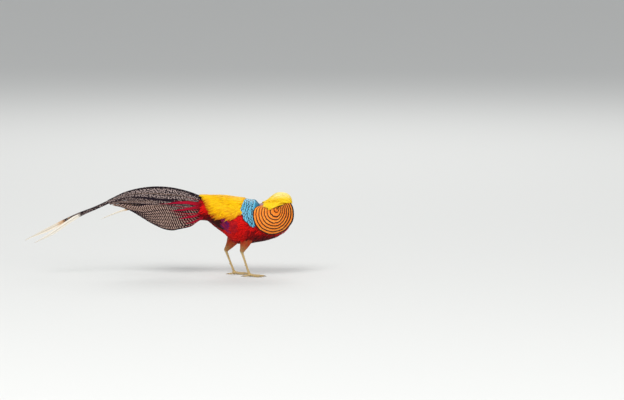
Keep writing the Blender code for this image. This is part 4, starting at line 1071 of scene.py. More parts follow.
# Crest: fine silky locks that rise from the forehead and crown and sweep back over the nape.
crestLook = {
    "locks": 4100, "half": 0.0011, "reach": (-122, 152), "first": (0.0, 0.8), "span": (0.32, 0.6),
    "past": 0.03, "back": 0.077, "down": 0.04,  # how far the longest locks pass the form's end, and where
    "bare": 0.0072, "overBill": (0.284, 112), "widest": 0.022, "thick": [0.0006],
    "deepest": 0.0045, "rooted": (0.0012, 0.0088), "rootedBy": (0.02, 0.25), "hang": (84, 100),
    "over": 0.0042, "domeHigh": (0.254, 0.27), "domeAhead": (0.232, 0.262),
    "outline": [(0, 0.5), (0.25, 1), (0.6, 0.9), (0.85, 0.5), (1, 0.08)],
    "rowsAt": [0, 0.15, 0.35, 0.55, 0.75, 0.9, 1],
    "material": {
        "along": [(0.0, (1.0, 0.66, 0.006)), (0.4, (1.0, 0.76, 0.01)), (1.0, (1.0, 0.78, 0.02))],
        "other": [(0.0, (0.95, 0.48, 0.003)), (0.4, (1.0, 0.58, 0.003)), (1.0, (1.0, 0.6, 0.004))],
        "roughness": 0.36, "specular": 0.18, "fineness": 2.5, "bump": 0.4, "dark": (0.76, 0.66, 0.46),
        "shaded": (0.34, 0.6),
    },
    # the colour of the painted highlight on the crown's top
    "dome": (1.0, 0.93, 0.4),
}


def paintedCrestHighlight(tree, colour, _):  # the painted highlight: the crown's top is painted paler
    return mixNode(tree, valueOf(tree, "dome"), colour, crestLook["dome"])


def makeCrest():
    rng = np.random.default_rng(41)
    look = crestLook
    count = look["locks"]
    layer = rng.random(count)
    first = rng.uniform(*look["first"], count)
    span = rng.uniform(*look["span"], count) * (1 - 0.2 * layer)
    angle = np.radians(rng.uniform(*look["reach"], count))
    eye = headPoint(*headLook["eye"])
    root = skinAt(crest, first + 0.02, angle)
    nearEye = np.hypot(root[:, 0] - eye.x, root[:, 2] - eye.z) < look["bare"]
    ahead, low = look["overBill"]
    keep = ~nearEye & ~((root[:, 0] > ahead) & (np.abs(np.degrees(angle)) > low))
    layer, first, span, angle = layer[keep], first[keep], span[keep], angle[keep]
    count = len(first)
    t, a = vaneGrid(look["rowsAt"], 3)
    run = perFeather(first) + perFeather(span) * t
    share = np.clip(run, 0.008, 0.985)
    past = np.clip(run - share, 0, look["past"])
    depth = look["deepest"] * perFeather(layer) ** 1.5
    least, more = look["rooted"]
    rooted = least + more * perFeather(eased(*look["rootedBy"], first))
    _, _, high, wide = sample(crest["table"], share)
    sink = np.minimum(depth + rooted * (1 - eased(0, 0.45, t)), 0.8 * high)
    half = perFeather(spread(rng, count, look["half"], 0.3))
    swing = 0.8 * half * np.sin(2 * math.pi * (t * 0.8 + rng.random((count, 1, 1)))) * t
    side = half * pairsAt(look["outline"], t) * a + swing
    theta = perFeather(angle) * (1 - 0.08 * t) + side / np.maximum(high, 0.006)
    normal = normalAt(crest, share, theta)
    middle = skinAt(crest, share, theta) - normal * (sink + 0.3 * half * a * a)[..., None]
    hang = eased(*look["hang"], np.degrees(theta)) * np.minimum(wide, look["widest"])  # over the open cape
    middle[..., 1] = np.minimum(middle[..., 1], np.where(hang > 0, -hang * 0.98 + sink * 0.5, 1.0))
    middle[..., 0] -= past * look["back"]
    middle[..., 2] -= past * look["down"]
    over = look["over"] - 0.5 * depth
    middle = pushOut(torso, pushOut(neck, middle, over), over)
    places = np.stack([0.03 + 0.94 * first, angle / (2 * math.pi) + 0.5], -1)
    centreX, centreZ = middle[:, 3, 1, 0], middle[:, 3, 1, 2]
    # painted highlight: the locks high on the crown, towards its front, are painted paler
    dome = eased(*look["domeHigh"], centreZ) * eased(*look["domeAhead"], centreX)
    dome *= rng.uniform(0.4, 1.0, count)
    values = {"tone": rng.random(count), "dome": dome}
    material = featherMaterial("crestSilk", look["material"], paintedCrestHighlight)
    laid = middle, normal, places
    return makePlumage("crestLocks", "crest_plumage", laid, values, material, look["rowsAt"], look["thick"])


crestLocks = makeCrest()
crestSideLook = {
    "count": 520, "half": 0.001, "tips": (0.2065, 0.247), "over": 0.0078, "looser": 0.0022,
    "length": (0.02, 0.034), "root": 0.244, "rootOut": 0.014, "rowsAt": [0, 0.2, 0.4, 0.6, 0.8, 0.92, 1],
    "low": [(0.206, 0.232), (0.219, 0.229), (0.226, 0.222), (0.233, 0.2225), (0.239, 0.2265),
            (0.247, 0.2315)],
}


def makeCrestSide():  # locks that hang from the side of the crown over the edge of the open cape
    rng = np.random.default_rng(42)
    look = crestSideLook
    count = look["count"]
    tipX = rng.uniform(*look["tips"], count)
    tipZ = pairsAt(look["low"], tipX) + rng.uniform(0, 0.012, count)
    rootX = tipX + rng.uniform(*look["length"], count)
    rootZ = look["root"] + rng.normal(0, 0.003, count)
    t, a = vaneGrid(look["rowsAt"], 3)
    runX, runZ = perFeather(tipX - rootX), perFeather(tipZ - rootZ)
    slope = unit(np.stack(np.broadcast_arrays(runX, runZ * 1.7 * t**0.7), -1))
    side = perFeather(spread(rng, count, look["half"], 0.3)) * pairsAt(crestLook["outline"], t) * a
    x = perFeather(rootX) + runX * t - slope[..., 1] * side
    z = perFeather(rootZ) + runZ * t**1.7 + slope[..., 0] * side
    over = capeDepth(x, z) + look["over"] + look["looser"] * rng.random((count, 1, 1))
    y = -(look["rootOut"] + (over - look["rootOut"]) * eased(0, 0.45, t)) + 0.3 * np.abs(side)
    places = np.stack([0.03 + 0.94 * (tipX - 0.206) / 0.1, rng.uniform(0.76, 0.84, count)], -1)
    laid = np.stack([x, y, z], -1), np.array((0.0, -1.0, 0.3)), places
    values = {"tone": rng.random(count)}
    material = crestLocks.data.materials[0]
    makePlumage("crestSideLocks", "crest_plumage", laid, values, material, look["rowsAt"], crestLook["thick"])


makeCrestSide()
print("crest ready", len(crestLocks.data.polygons))

# Tail: the vaulted fan, its long middle feathers and the shorter ones below.
tailLook = {
    "ridge": [
        (0.04, 0.249), (0.005, 0.263), (-0.045, 0.281), (-0.098, 0.2925), (-0.15, 0.295),
        (-0.2, 0.2895), (-0.25, 0.276), (-0.3, 0.252), (-0.35, 0.229), (-0.4, 0.21),
        (-0.445, 0.1895), (-0.49, 0.167), (-0.535, 0.143), (-0.58, 0.118),
    ],
    "depth": [0.058, 0.106, 0.133, 0.137, 0.126, 0.104, 0.067, 0.0235, 0.0135, 0.012, 0.01, 0.009,
              0.008, 0.008],
    "vaultHalf": 0.0025, "ridgeHalf": 0.0013, "shownSlope": 0.17, "shownBelly": 0.1,
    "farSlope": 0.7, "farDrop": 0.78, "farEnd": (0.56, 0.7), "streamerSlope": -0.04,
    "pairs": [  # length as a share of the ridge, place across the fan, half width
        (0.965, 0.14, 0.0225), (0.76, 0.29, 0.02), (0.535, 0.43, 0.0175), (0.5, 0.55, 0.0165),
        (0.465, 0.67, 0.0155), (0.425, 0.79, 0.0145), (0.385, 0.9, 0.0135),
    ],
    "fan": [0, 0.5, 1, 1.5, 2, 2.67, 3.33, 4, 4.67, 5.33, 6],  # the feathers of the fan, among the pairs
    "tipCurve": 0.75, "tipEdge": 0.97,  # the shorter feathers' tips curve down to the fan's lower edge
    "rootWidth": 0.16, "rootLength": 0.26,
    "narrowing": {  # how much is lost, from where to where, and how much later with each pair
        "longest": [(0.77, 0.26, 0.58, 0, 0), (-0.06, 0.62, 0.76, 0, 0), (0.24, 0.86, 1.0, 0, 0)],
        "inner": [(0.74, 0.26, 0.58, 0.04, 0.12), (0.2, 0.86, 1.0, 0, 0)],
        "outer": [(0.4, 0.5, 0.9, 0, 0), (0.42, 0.88, 1.0, 0, 0)],
    },
    "longest": 1.0, "split": 0.545, "step": 0.0014, "tipStep": 0.0005, "tipDrop": 0.022, "metres": 0.72,
    "paleFrom": {1: 0.685, -1: 0.77},  # where the longest feathers' pale tips start, on the right and left
    "stray": [(-0.1782, 0.22935), (-0.2112, 0.22605), (-0.2409, 0.22044), (-0.264, 0.21384), (-0.297, 0.2013),
              (-0.33, 0.18678)],  # one loose pale tip
    "strayHalf": 0.0036, "roofHalf": 0.005,
    "strayValues": {"span": 0.15, "inner": 0.0, "pale": 0.36, "rust": 1.0, "reach": 0.004},
    "roofValues": {"span": 0.4, "inner": 1.0, "pale": 2.0, "rust": 0.0, "reach": 0.005},
    "rows": 60, "columns": 9, "thick": (0.0006, 0.0005), "patch": 0.06,
    "material": {"density": 160.0, "slant": 0.12, "dark": 0.72, "shaded": (0.3, 0.6), "bump": 0.3},
    "spots": {"scale": 190.0, "edge": (0.31, 0.42), "colours": ((0.01, 0.006, 0.01), (0.5, 0.38, 0.35))},
    "bars": {
        "apart": 0.0096, "slant": 0.85, "edge": (0.58, 0.68),
        "colours": ((0.01, 0.004, 0.005), (0.5, 0.33, 0.27)),
    },
    "ripple": {"scale": 130.0, "size": 0.007}, "shaft": (0.1, 0.06, 0.04),
    "rims": [(-0.5, (0.88, 0.94)), (0.5, (0.82, 0.87))], "rim": (0.012, 0.006, 0.012),
    "cream": [(0.0, (0.5, 0.2, 0.06)), (0.06, (0.76, 0.5, 0.3)), (0.13, (0.88, 0.78, 0.64)),
              (0.5, (0.87, 0.81, 0.69))],
    "white": (0.88, 0.82, 0.71),
}
ridgeTable = smoothTable(tailLook["ridge"])
depthTable = smoothTable(tailLook["depth"])


def tailPoint(along, below, side, out=0.0):
    look = tailLook
    x, z = sample(ridgeTable, along)
    (depth,) = sample(depthTable, along)
    aheadX, aheadZ = sample(ridgeTable, np.minimum(along + 0.01, 1.0))
    behindX, behindZ = sample(ridgeTable, np.maximum(along - 0.01, 0.0))
    run = unit(np.stack([aheadX - behindX, aheadZ - behindZ], -1))
    downX, downZ = run[..., 1], -run[..., 0]
    flip = np.where(downZ > 0, -1, 1)
    downX, downZ = downX * flip, downZ * flip
    share = below / np.maximum(depth, 0.02)
    vault = look["ridgeHalf"] + (look["vaultHalf"] - look["ridgeHalf"]) * eased(0.0, 0.01, below)
    if side == right:
        belly = look["shownBelly"] * depth * (1 - np.exp(-3 * np.maximum(share, 0)))
        sideways = vault + look["shownSlope"] * below + belly
        drop = below
    else:
        level = eased(*look["farEnd"], along)  # past the fan it hangs as the shown side does
        sideways = vault + (look["farSlope"] * (1 - level) + look["streamerSlope"] * level) * below
        drop = below * (look["farDrop"] * (1 - level) + level)
    return np.stack(np.broadcast_arrays(x + downX * drop, -side * (sideways + out), z + downZ * drop), -1)


def tailWidth(t, pair):
    least = tailLook["rootWidth"]
    rise = least + (1 - least) * eased(0, tailLook["rootLength"], t)
    kind = "longest" if pair == 0 else "inner" if pair < 2 else "outer"
    fall = 1.0
    for lost, start, end, startLater, endLater in tailLook["narrowing"][kind]:
        fall = fall - lost * eased(start + startLater * pair, end + endLater * pair, t)
    return rise * fall


def fanPlace(t, pair, across, half, depth):  # how far below the ridge the middle of a feather lies
    curve = tailLook["tipCurve"] * eased(0.4, 1.0, t) * min(max(pair - 1, 0), 1)
    across = across + (tailLook["tipEdge"] - across) * curve
    return np.maximum(np.minimum(across * depth, depth - half), half + 0.0008)


def edgeRamp(tree, factor, places, first=0, last=1):
    return rampNode(tree, factor, list(zip(places, (first, last))))


def tailMaterial():
    look = tailLook
    finish = plainFeather | look["material"]
    material, tree, shader, vane = startFeather("tailFeather", finish)
    across, along = vane["Across"], vane["Along"]
    kinds = ("inner", "reach", "span", "pale", "rust")
    inner, reach, span, pale, rust = (valueOf(tree, name) for name in kinds)
    metres = mathNode(tree, "MULTIPLY", along, span)
    sideways = mathNode(tree, "MULTIPLY", across, reach)
    spot = vectorOf(tree, metres, sideways, mathNode(tree, "MULTIPLY", vane["Tone"], 5.0))
    cells = textureNode(tree, "Voronoi", spot, look["spots"]["scale"], Randomness=0.6)  # pale spots on black
    spotted = mixNode(tree, edgeRamp(tree, cells, look["spots"]["edge"], 1, 0), *look["spots"]["colours"])
    bars = look["bars"]  # these slant back from the shaft
    skew = mathNode(tree, "MULTIPLY_ADD", mathNode(tree, "ABSOLUTE", sideways), bars["slant"], metres)
    noise = textureNode(tree, "Noise", spot, look["ripple"]["scale"])
    ripple = mathNode(tree, "MULTIPLY_ADD", noise, look["ripple"]["size"], skew)
    wave = mathNode(tree, "SINE", mathNode(tree, "MULTIPLY", ripple, 2 * math.pi / bars["apart"]))
    barred = edgeRamp(tree, mathNode(tree, "MULTIPLY_ADD", wave, 0.5, 0.5), bars["edge"])
    colour = mixNode(tree, inner, mixNode(tree, barred, *bars["colours"]), spotted)
    rims = []
    for way, edge in look["rims"]:
        rims.append(edgeRamp(tree, mathNode(tree, "MULTIPLY_ADD", across, way, 0.5), edge))
    colour = mixNode(tree, mathNode(tree, "MAXIMUM", *rims), colour, look["rim"])
    past = mathNode(tree, "SUBTRACT", along, pale)
    cream = mixNode(tree, rust, look["white"], rampNode(tree, past, look["cream"]))
    colour = mixNode(tree, clampNode(tree, mathNode(tree, "MULTIPLY", past, 22.0)), colour, cream)
    colour = darkened(tree, finish, colour, vane["Lines"])
    colour = mixNode(tree, vane["Shaft"], colour, look["shaft"])
    finishLook(tree, shader, colour, vane["Lines"], finish["bump"])
    return material


tailFinish = tailMaterial()


def flatGrid(rows, columns):  # places along one feather, and across it from -1 to 1
    return np.linspace(0, 1, rows)[:, None], np.linspace(-1, 1, columns)[None, :]


def tailGrid(side, pair, first, last, step):
    look = tailLook
    length, across, widest = (np.interp(pair, range(7), column) for column in zip(*look["pairs"]))
    if pair == 0 and side == left:
        length = look["longest"]
    t = np.linspace(first / length, min(last / length, 1.0), look["rows"])[:, None]
    along = length * t
    (depth,) = sample(depthTable, along)
    half = widest * tailWidth(t, pair)
    below = fanPlace(t, pair, across, half, depth)
    if pair == 0 and side == right:
        below = below + look["tipDrop"] * eased(0.66, 1.0, t)
    _, a = flatGrid(look["rows"], look["columns"])
    blunt = np.where(t > 0.985, np.sqrt(np.maximum(1 - ((t - 0.985) / 0.015) ** 2, 0.02)), 1.0)
    cup = 0.0012 * a * a
    return tailPoint(along + 0 * a, below + half * a * blunt, side, -step * pair - cup), length


def tailFeather(side, pair, first, last, step):  # its points, the way it faces, and what its material reads
    grid, length = tailGrid(side, pair, first, last, step)
    end = min(last, length)
    paleFrom = tailLook["paleFrom"][side] if pair == 0 else length * 0.975
    values = {
        "span": (end - first) * tailLook["metres"],
        "inner": np.interp(pair, [0, 1, 1.5, 2], [1.0, 0.8, 0.5, 0.0]),
        "rust": 0.0 if pair == 0 and side == right else 1.0,
        "pale": (paleFrom - first) / (end - first) if end >= length - 1e-6 else 2.0,
        "reach": np.interp(pair, range(7), [row[2] for row in tailLook["pairs"]]),
    }
    return grid, (0.0, -side, 0.3), values


def strayFeather():  # a narrow feather that has slipped out below the fan
    t, a = flatGrid(tailLook["rows"], tailLook["columns"])
    x, z = sample(smoothTable(tailLook["stray"]), t)
    run = unit(np.stack([np.gradient(x[:, 0]), np.gradient(z[:, 0])], -1))[:, None]
    half = tailLook["strayHalf"] * np.interp(t, [0, 0.3, 0.6, 0.9, 1], [0.6, 1, 0.8, 0.4, 0.05]) * a
    y = -0.012 + 0.005 * t + 0.0008 * a * a
    grid = np.stack([x - run[..., 1] * half, y, z + run[..., 0] * half], -1)
    return grid, (0.0, -1.0, 0.3), tailLook["strayValues"]


def roofFeather(last):  # a narrow feather laid flat along the ridge, over the meeting of both halves
    t, a = flatGrid(tailLook["rows"], tailLook["columns"])
    x, z = sample(ridgeTable, last * t)
    droop = 0.0022 + 0.008 * (1 - eased(0, 0.45, t))
    y = tailLook["roofHalf"] * (1 - 0.45 * t) * a
    grid = np.stack(np.broadcast_arrays(x, y, z + 0.0006 - droop * a * a), -1)
    return grid, (0.0, 0.0, 1.0), tailLook["roofValues"]


def makeTailPiece(name, nodes, sides, pairs, first, last, step, seed):
    rng = np.random.default_rng(seed)
    look = tailLook
    feathers = [tailFeather(side, pair, first, last, step) for side in sides for pair in pairs]
    places = [((i + 0.5) / len(feathers), 0.5) for i in range(len(feathers))]
    if last < 1:
        feathers += [strayFeather(), roofFeather(last)]
        places += [(0.5, 0.95), (0.5, 0.05)]
    grids, outward, marks = zip(*feathers)
    values = {key: np.array([each[key] for each in marks]) for key in marks[0]}
    values["tone"] = rng.random(len(grids))
    thick = thickness(np.linspace(0, 1, look["rows"]), look["columns"], *look["thick"])
    out = np.array(outward)[:, None, None]
    made = feathersMesh(name, np.array(grids), out, thick, places, values, tailFinish, look["patch"])
    return finishPiece(made, "tail_plumage", *nodes)


fanPlaces, splitAt = tailLook["fan"], tailLook["split"]
tailFan = makeTailPiece("tailFan", ["tail"], (right, left), fanPlaces, 0.0, splitAt, tailLook["step"], 51)
for side in (right, left):
    node = ["tail_tip_" + sideWords[side]]
    makeTailPiece(sided("tailTip", side), node, (side,), range(2), splitAt, 1.0, tailLook["tipStep"], 52)
print("tail ready", len(tailFan.data.polygons))

# Tail coverts: long pointed scarlet streaks over the fan, and a short dense tuft at its root.
covertLook = {
    "reach": [(0.12, 0.13), (0.2, 0.19), (0.42, 0.255), (0.57, 0.205), (0.72, 0.16), (0.88, 0.112),
              (0.98, 0.09)],
    "long": {"count": 12, "half": 0.001, "share": (0.66, 1.0), "raised": 0.0016},
    "short": {"count": 70, "half": 0.0026, "share": (0.1, 0.24), "raised": 0.003},
    "streaks": [  # the broad ones: share of the ridge, and place across the fan
        [(0.02, 0.22), (0.129, 0.26), (0.185, 0.32), (0.231, 0.38), (0.29, 0.43)],
        [(0.02, 0.3), (0.088, 0.36), (0.135, 0.46), (0.175, 0.5), (0.225, 0.55)],
        [(0.01, 0.58), (0.06, 0.63), (0.104, 0.66), (0.133, 0.69), (0.17, 0.71)],
        [(0.005, 0.85), (0.058, 0.87), (0.081, 0.85), (0.105, 0.87)],
    ],
    "bundle": 5, "apart": 0.0023, "streakHalf": 0.0022, "cup": 0.0009, "thick": (0.0008, 0.0003),
    "outline": [(0, 0.6), (0.15, 1.0), (0.45, 0.9), (0.8, 0.5), (1, 0.05)],
    "rowsAt": [0, 0.12, 0.26, 0.42, 0.58, 0.72, 0.84, 0.93, 1.0],
    "material": {
        "along": [(0.0, (0.1, 0.006, 0.006)), (0.2, (0.24, 0.005, 0.008)), (0.4, (0.52, 0.004, 0.026)),
                  (1.0, (0.48, 0.007, 0.042))],
        "other": [(0.0, (0.12, 0.01, 0.01)), (0.2, (0.34, 0.006, 0.012)), (0.6, (0.44, 0.005, 0.03)),
                  (1.0, (0.34, 0.005, 0.038))],
        "dark": 0.5, "density": 50.0, "slant": 0.2, "roughness": 0.5,
    },
}


def looseCoverts(rng, kind, t):  # for each: share of the ridge, place across, half width, how far out
    part = covertLook[kind]
    for i in range(part["count"]):
        across = 0.14 + 0.83 * (i + rng.random()) / part["count"]
        length = pairsAt(covertLook["reach"], across) * rng.uniform(*part["share"])
        out = 0.002 + part["raised"] * (1 - t) + rng.uniform(0, 0.0012) - 0.003 * (t < 0.05)
        place = across + rng.normal(0, 0.013) * t
        yield 0.01 + length * t, place, part["half"] * rng.uniform(0.75, 1.3), out


def streakCoverts(rng, path, t):
    look = covertLook
    shares, acrosses = zip(*path)
    for i in range(look["bundle"]):
        aside = i - (look["bundle"] - 1) / 2
        end = shares[0] + (shares[-1] - shares[0]) * (1 - 0.13 * abs(aside) - rng.uniform(0, 0.1))
        along = shares[0] + (end - shares[0]) * t
        place = np.interp(along, shares, acrosses) + aside * look["apart"] / 0.12 * (1 - 0.45 * t)
        out = 0.003 + 0.0012 * (1 - t) + rng.uniform(0, 0.001) - 0.004 * (t < 0.05)
        yield along, place, look["streakHalf"] * rng.uniform(0.8, 1.25), out


def makeCoverts():
    rng = np.random.default_rng(53)
    look = covertLook
    t, a = vaneGrid(look["rowsAt"], 5)
    t, a = t[0], a[0]
    width = pairsAt(look["outline"], t)
    grids, outs, places = [], [], []
    for side in (right, left):
        rows = [row for kind in ("long", "short") for row in looseCoverts(rng, kind, t)]
        rows += [row for path in look["streaks"] for row in streakCoverts(rng, path, t)]
        for along, place, half, out in rows:
            (depth,) = sample(depthTable, along)
            below = place * depth + half * width * a
            grids.append(tailPoint(along + 0 * a, below, side, out - look["cup"] * a * a))
            outs.append((0.0, -side, 0.2))
            places.append((0.25 - 0.1 * side + 0.25 * place[0, 0], 0.1 + 0.8 * place[0, 0]))
    laid = np.array(grids), np.array(outs)[:, None, None], places
    values = {"tone": rng.random(len(grids))}
    material = featherMaterial("tailCovert", look["material"])
    makePlumage("tailCoverts", "tail_plumage", laid, values, material, look["rowsAt"], look["thick"])


makeCoverts()
print("tail coverts ready")

# Wings: maroon coverts, dark blue inner flight feathers, brown barred tips.
wingLook = {
    "coverts": {
        "rows": (0.14, 0.104, -0.0065), "reach": (88, 120), "spacing": 0.0085,
        "length": 0.03, "half": 0.0066, "lift": 0.0036, "seed": 67, "replaces": True,
        "material": {
            "along": [(0.0, (0.24, 0.005, 0.006)), (0.6, (0.55, 0.008, 0.01)), (1.0, (0.72, 0.014, 0.016))],
            "other": [(0.0, (0.14, 0.004, 0.01)), (0.6, (0.32, 0.006, 0.014)), (1.0, (0.5, 0.01, 0.02))],
            "dark": 0.5, "density": 30.0, "slant": 0.4, "roughness": 0.5,
        },
    },
    "tertials": {
        "rows": (0.124, 0.1, -0.006), "reach": (94, 126), "spacing": 0.0085,
        "length": 0.038, "half": 0.0066, "lift": 0.0042, "seed": 68, "replaces": False,
        "material": {
            "along": [(0.0, (0.06, 0.004, 0.02)), (0.6, (0.16, 0.01, 0.11)), (1.0, (0.1, 0.008, 0.08))],
            "other": [(0.0, (0.14, 0.004, 0.02)), (0.6, (0.46, 0.01, 0.05)), (1.0, (0.3, 0.008, 0.04))],
            "dark": 0.5, "density": 34.0, "slant": 0.4, "roughness": 0.35,
        },
    },
    "flight": {
        "rows": (0.108, 0.088, -0.006), "reach": (104, 138), "spacing": 0.008,
        "length": 0.05, "half": 0.006, "lift": 0.0034, "seed": 66, "replaces": False,
        "material": {
            "along": [(0.0, (0.025, 0.003, 0.003)), (0.6, (0.05, 0.005, 0.004)), (1.0, (0.03, 0.003, 0.003))],
            "other": [(0.0, (0.05, 0.004, 0.003)), (0.6, (0.1, 0.008, 0.005)), (1.0, (0.06, 0.005, 0.004))],
            "dark": 0.35, "density": 26.0, "slant": 0.5, "roughness": 0.5,
        },
    },
}
wingShape = {
    "outline": [(0, 0.4), (0.25, 0.85), (0.6, 1.0), (0.85, 0.8), (0.95, 0.5), (1, 0.16)], "lean": 0.1,
    "jitter": 0.12, "thick": (0.0006, 0.0003),
}


def makeWingPart(part, side, material):
    look = wingLook[part]
    rng = np.random.default_rng(look["seed"])
    xs = np.arange(*look["rows"])
    x, angle = rootRows(torso, rng, xs, *look["reach"], look["spacing"], wingShape["jitter"])
    count = len(x)
    roots = {
        "x": x, "angle": angle, "lean": np.full(count, wingShape["lean"]) + rng.normal(0, 0.03, count),
        **varied(rng, count, look, length=0.08, half=0.1),
        "lift": look["lift"] + rng.normal(0, 0.0003, count),
    }
    middle, normal, places = layFeathers(torso, rng, roots, wingShape["outline"], vaneRows, 7, cup=0.08)
    middle[..., 1] *= side
    laid = middle, normal * np.array((1, side, 1)), places
    name = sided("wing" + part.capitalize(), side)
    nodes = ["wing_" + sideWords[side]] if look["replaces"] else []
    values = {"tone": rng.random(count)}
    makePlumage(name, "wing_plumage", laid, values, material, vaneRows, wingShape["thick"], *nodes)


for part, partLook in wingLook.items():
    material = featherMaterial("wing" + part.capitalize(), partLook["material"])
    for side in (right, left):
        makeWingPart(part, side, material)
print("wings ready")

# Head: short feathers on cheek and throat, bare lids, eyes and bill.
faceLook = {
    "first": 0.0225, "last": -0.02, "step": 0.0015, "spacing": 0.0014, "length": 0.0046, "half": 0.00085,
    "bare": 0.0076, "crown": -0.004, "radius": 0.012, "thick": [0.0004], "rowsAt": [0, 0.3, 0.6, 0.85, 1],
    "crownUp": 0.3, "faceUp": 0.6, "throat": -0.25, "nearEye": 0.004, "nearBill": (0.012, 0.022),
    "outline": [(0, 0.5), (0.4, 1), (0.8, 0.7), (1, 0.1)],
    "faceFeathers": {
        "along": [(0.0, (0.46, 0.21, 0.07)), (1.0, (0.74, 0.42, 0.17))],
        "other": [(0.0, (0.38, 0.16, 0.05)), (1.0, (0.62, 0.32, 0.12))],
        "deep": (0.55, 0.27, 0.09), "dark": 0.8, "fineness": 2.5, "bump": 0.2,
    },
    "browFeathers": {
        "along": [(0.0, (0.85, 0.42, 0.01)), (1.0, (1.0, 0.66, 0.02))],
        "other": [(0.0, (0.75, 0.34, 0.01)), (1.0, (0.95, 0.54, 0.01))],
        "dark": 0.8, "roughness": 0.5, "fineness": 2.5, "bump": 0.2,
    },
}


def skullAt(forward):  # how far up the middle lies, half height and half width
    stations = np.array(skullStations)
    return [np.interp(forward, stations[:, 0], stations[:, k]) for k in (1, 2, 3)]


def overHead(forward, turn, height):  # a point over the skull; turn 0 is the top and grows to the right
    up, high, wide = skullAt(forward)
    c, s = math.cos(headLook["dip"]), math.sin(headLook["dip"])
    rise = up + (high + height) * np.cos(turn)
    out = (wide + height) * np.sin(turn)
    x0, y0, z0 = headLook["place"]
    return np.stack([x0 + forward * c + rise * s, y0 - out, z0 + rise * c - forward * s], -1)


def faceRoots(rng):  # forward and turn of each feather
    spots = []
    for forward in np.arange(faceLook["first"], faceLook["last"], -faceLook["step"]):
        count = int(2 * math.pi * (skullAt(forward)[2] + 0.003) / faceLook["spacing"])
        for i in range(count):
            spots.append((forward + rng.normal(0, 0.0005), 2 * math.pi * (i + rng.random()) / count))
    return np.array(spots).T


def makeFace():
    rng = np.random.default_rng(71)
    look = faceLook
    forward, turn = faceRoots(rng)
    up, high, _ = skullAt(forward)
    ahead, above = forward - headLook["eye"][0], up + high * np.cos(turn) - headLook["eye"][1]
    apart = np.hypot(ahead, above)
    crown = (np.cos(turn) > look["crownUp"]) & (forward > look["crown"])
    keep = (apart > look["bare"]) & (crown | (np.cos(turn) < look["faceUp"]))
    atEye = (ahead > 0) & (np.abs(above) < look["bare"])  # those in front of the eye are short
    close = np.where(atEye, np.clip((apart - look["bare"]) / look["nearEye"], 0.3, 1), 1)
    forward, turn, crown, close = forward[keep], turn[keep], crown[keep], close[keep]
    count = len(forward)
    t, a = vaneGrid(look["rowsAt"], 3)
    width = pairsAt(look["outline"], t)
    nearBill = 1 - 0.35 * eased(*look["nearBill"], forward)
    length = perFeather(spread(rng, count, look["length"], 0.2) * close * nearBill)
    half = perFeather(spread(rng, count, look["half"], 0.2))
    theta = perFeather(turn) + half * width * a / look["radius"] + rng.normal(0, 0.05, (count, 1, 1)) * t
    uneven = 0.0003 * rng.random((count, 1, 1))
    height = -0.0006 + 0.0012 * eased(0, 0.8, t) - 0.2 * half * a * a + uneven
    middle = overHead(perFeather(forward) - length * t + 0 * theta, theta, height + 0 * theta)
    outward = unit(middle - np.array(headPoint(0, 0)))
    deep = np.where(np.cos(turn) < look["throat"], 0.0, 1.0) * rng.uniform(0.4, 1, count)
    places = np.stack([0.1 + 0.8 * (forward + 0.022) / 0.045, turn / (2 * math.pi) % 1.0], -1)
    face, brow = ("faceFeathers", "neck_plumage", ~crown), ("browFeathers", "crest_plumage", crown)
    for name, slotName, part in (face, brow):
        values = {"tone": rng.random(part.sum()), "deep": deep[part]}
        laid = middle[part], outward[part], places[part]
        material = featherMaterial(name, look[name])
        makePlumage(name, slotName, laid, values, material, look["rowsAt"], look["thick"])


makeFace()

neckLook = {
    "first": 0.27, "last": 0.196, "step": 0.0036, "spacing": 0.0036, "length": 0.017, "half": 0.0022,
    "lift": 0.0012, "low": 110, "nape": (62, 0.236), "thick": [0.0004],
    "neckFeathers": {
        "along": [(0.0, (0.6, 0.18, 0.01)), (1.0, (0.9, 0.36, 0.03))],
        "other": [(0.0, (0.5, 0.13, 0.01)), (1.0, (0.8, 0.26, 0.02))],
        "deep": (0.48, 0.03, 0.015), "dark": 0.6, "density": 24.0,
    },
    "napeFeathers": {  # the pale rosy patch above the mantle
        "along": [(0.0, (0.5, 0.22, 0.2)), (1.0, (0.72, 0.46, 0.46))],
        "other": [(0.0, (0.46, 0.16, 0.14)), (1.0, (0.62, 0.34, 0.36))],
    },
}


def makeNeckFeathers():  # orange-brown feathers between face and ruff
    rng = np.random.default_rng(72)
    look = neckLook
    xs = np.arange(look["first"], look["last"], -look["step"])
    x, angle = rootRows(neck, rng, xs, -180, 180, look["spacing"])
    count = len(x)
    roots = {
        "x": x, "angle": angle, "lean": rng.normal(0, 0.08, count),
        **varied(rng, count, look, length=0.15, half=0.15, lift=0.4),
    }
    laid = layFeathers(neck, rng, roots, scarletLook["outline"], vaneRows, 5)
    degrees = np.abs(np.degrees(angle))
    nape = (degrees < look["nape"][0]) & (x < look["nape"][1])
    deep = np.where(degrees > look["low"], rng.uniform(0.4, 1.0, count), 0.0)
    for name, part in {"neckFeathers": ~nape, "napeFeathers": nape}.items():
        material = featherMaterial(name, look["neckFeathers"] | look[name])
        values = {"tone": rng.random(part.sum()), "deep": deep[part]}
        shown = [each[part] for each in laid]
        makePlumage(name, "neck_plumage", shown, values, material, vaneRows, look["thick"])


makeNeckFeathers()

eyeLook = {
    "radius": 0.005, "facing": (0.12, 0.06), "bulge": 0.07, "cornea": (38, 20),
    "stops": [(0.0, 0.003), (0.205, 0.003), (0.235, (0.5, 0.36, 0.1)), (0.32, (0.88, 0.76, 0.36)),
              (0.52, (0.82, 0.66, 0.28)), (0.6, (0.4, 0.24, 0.08)), (0.66, (0.03, 0.02, 0.015))],
}


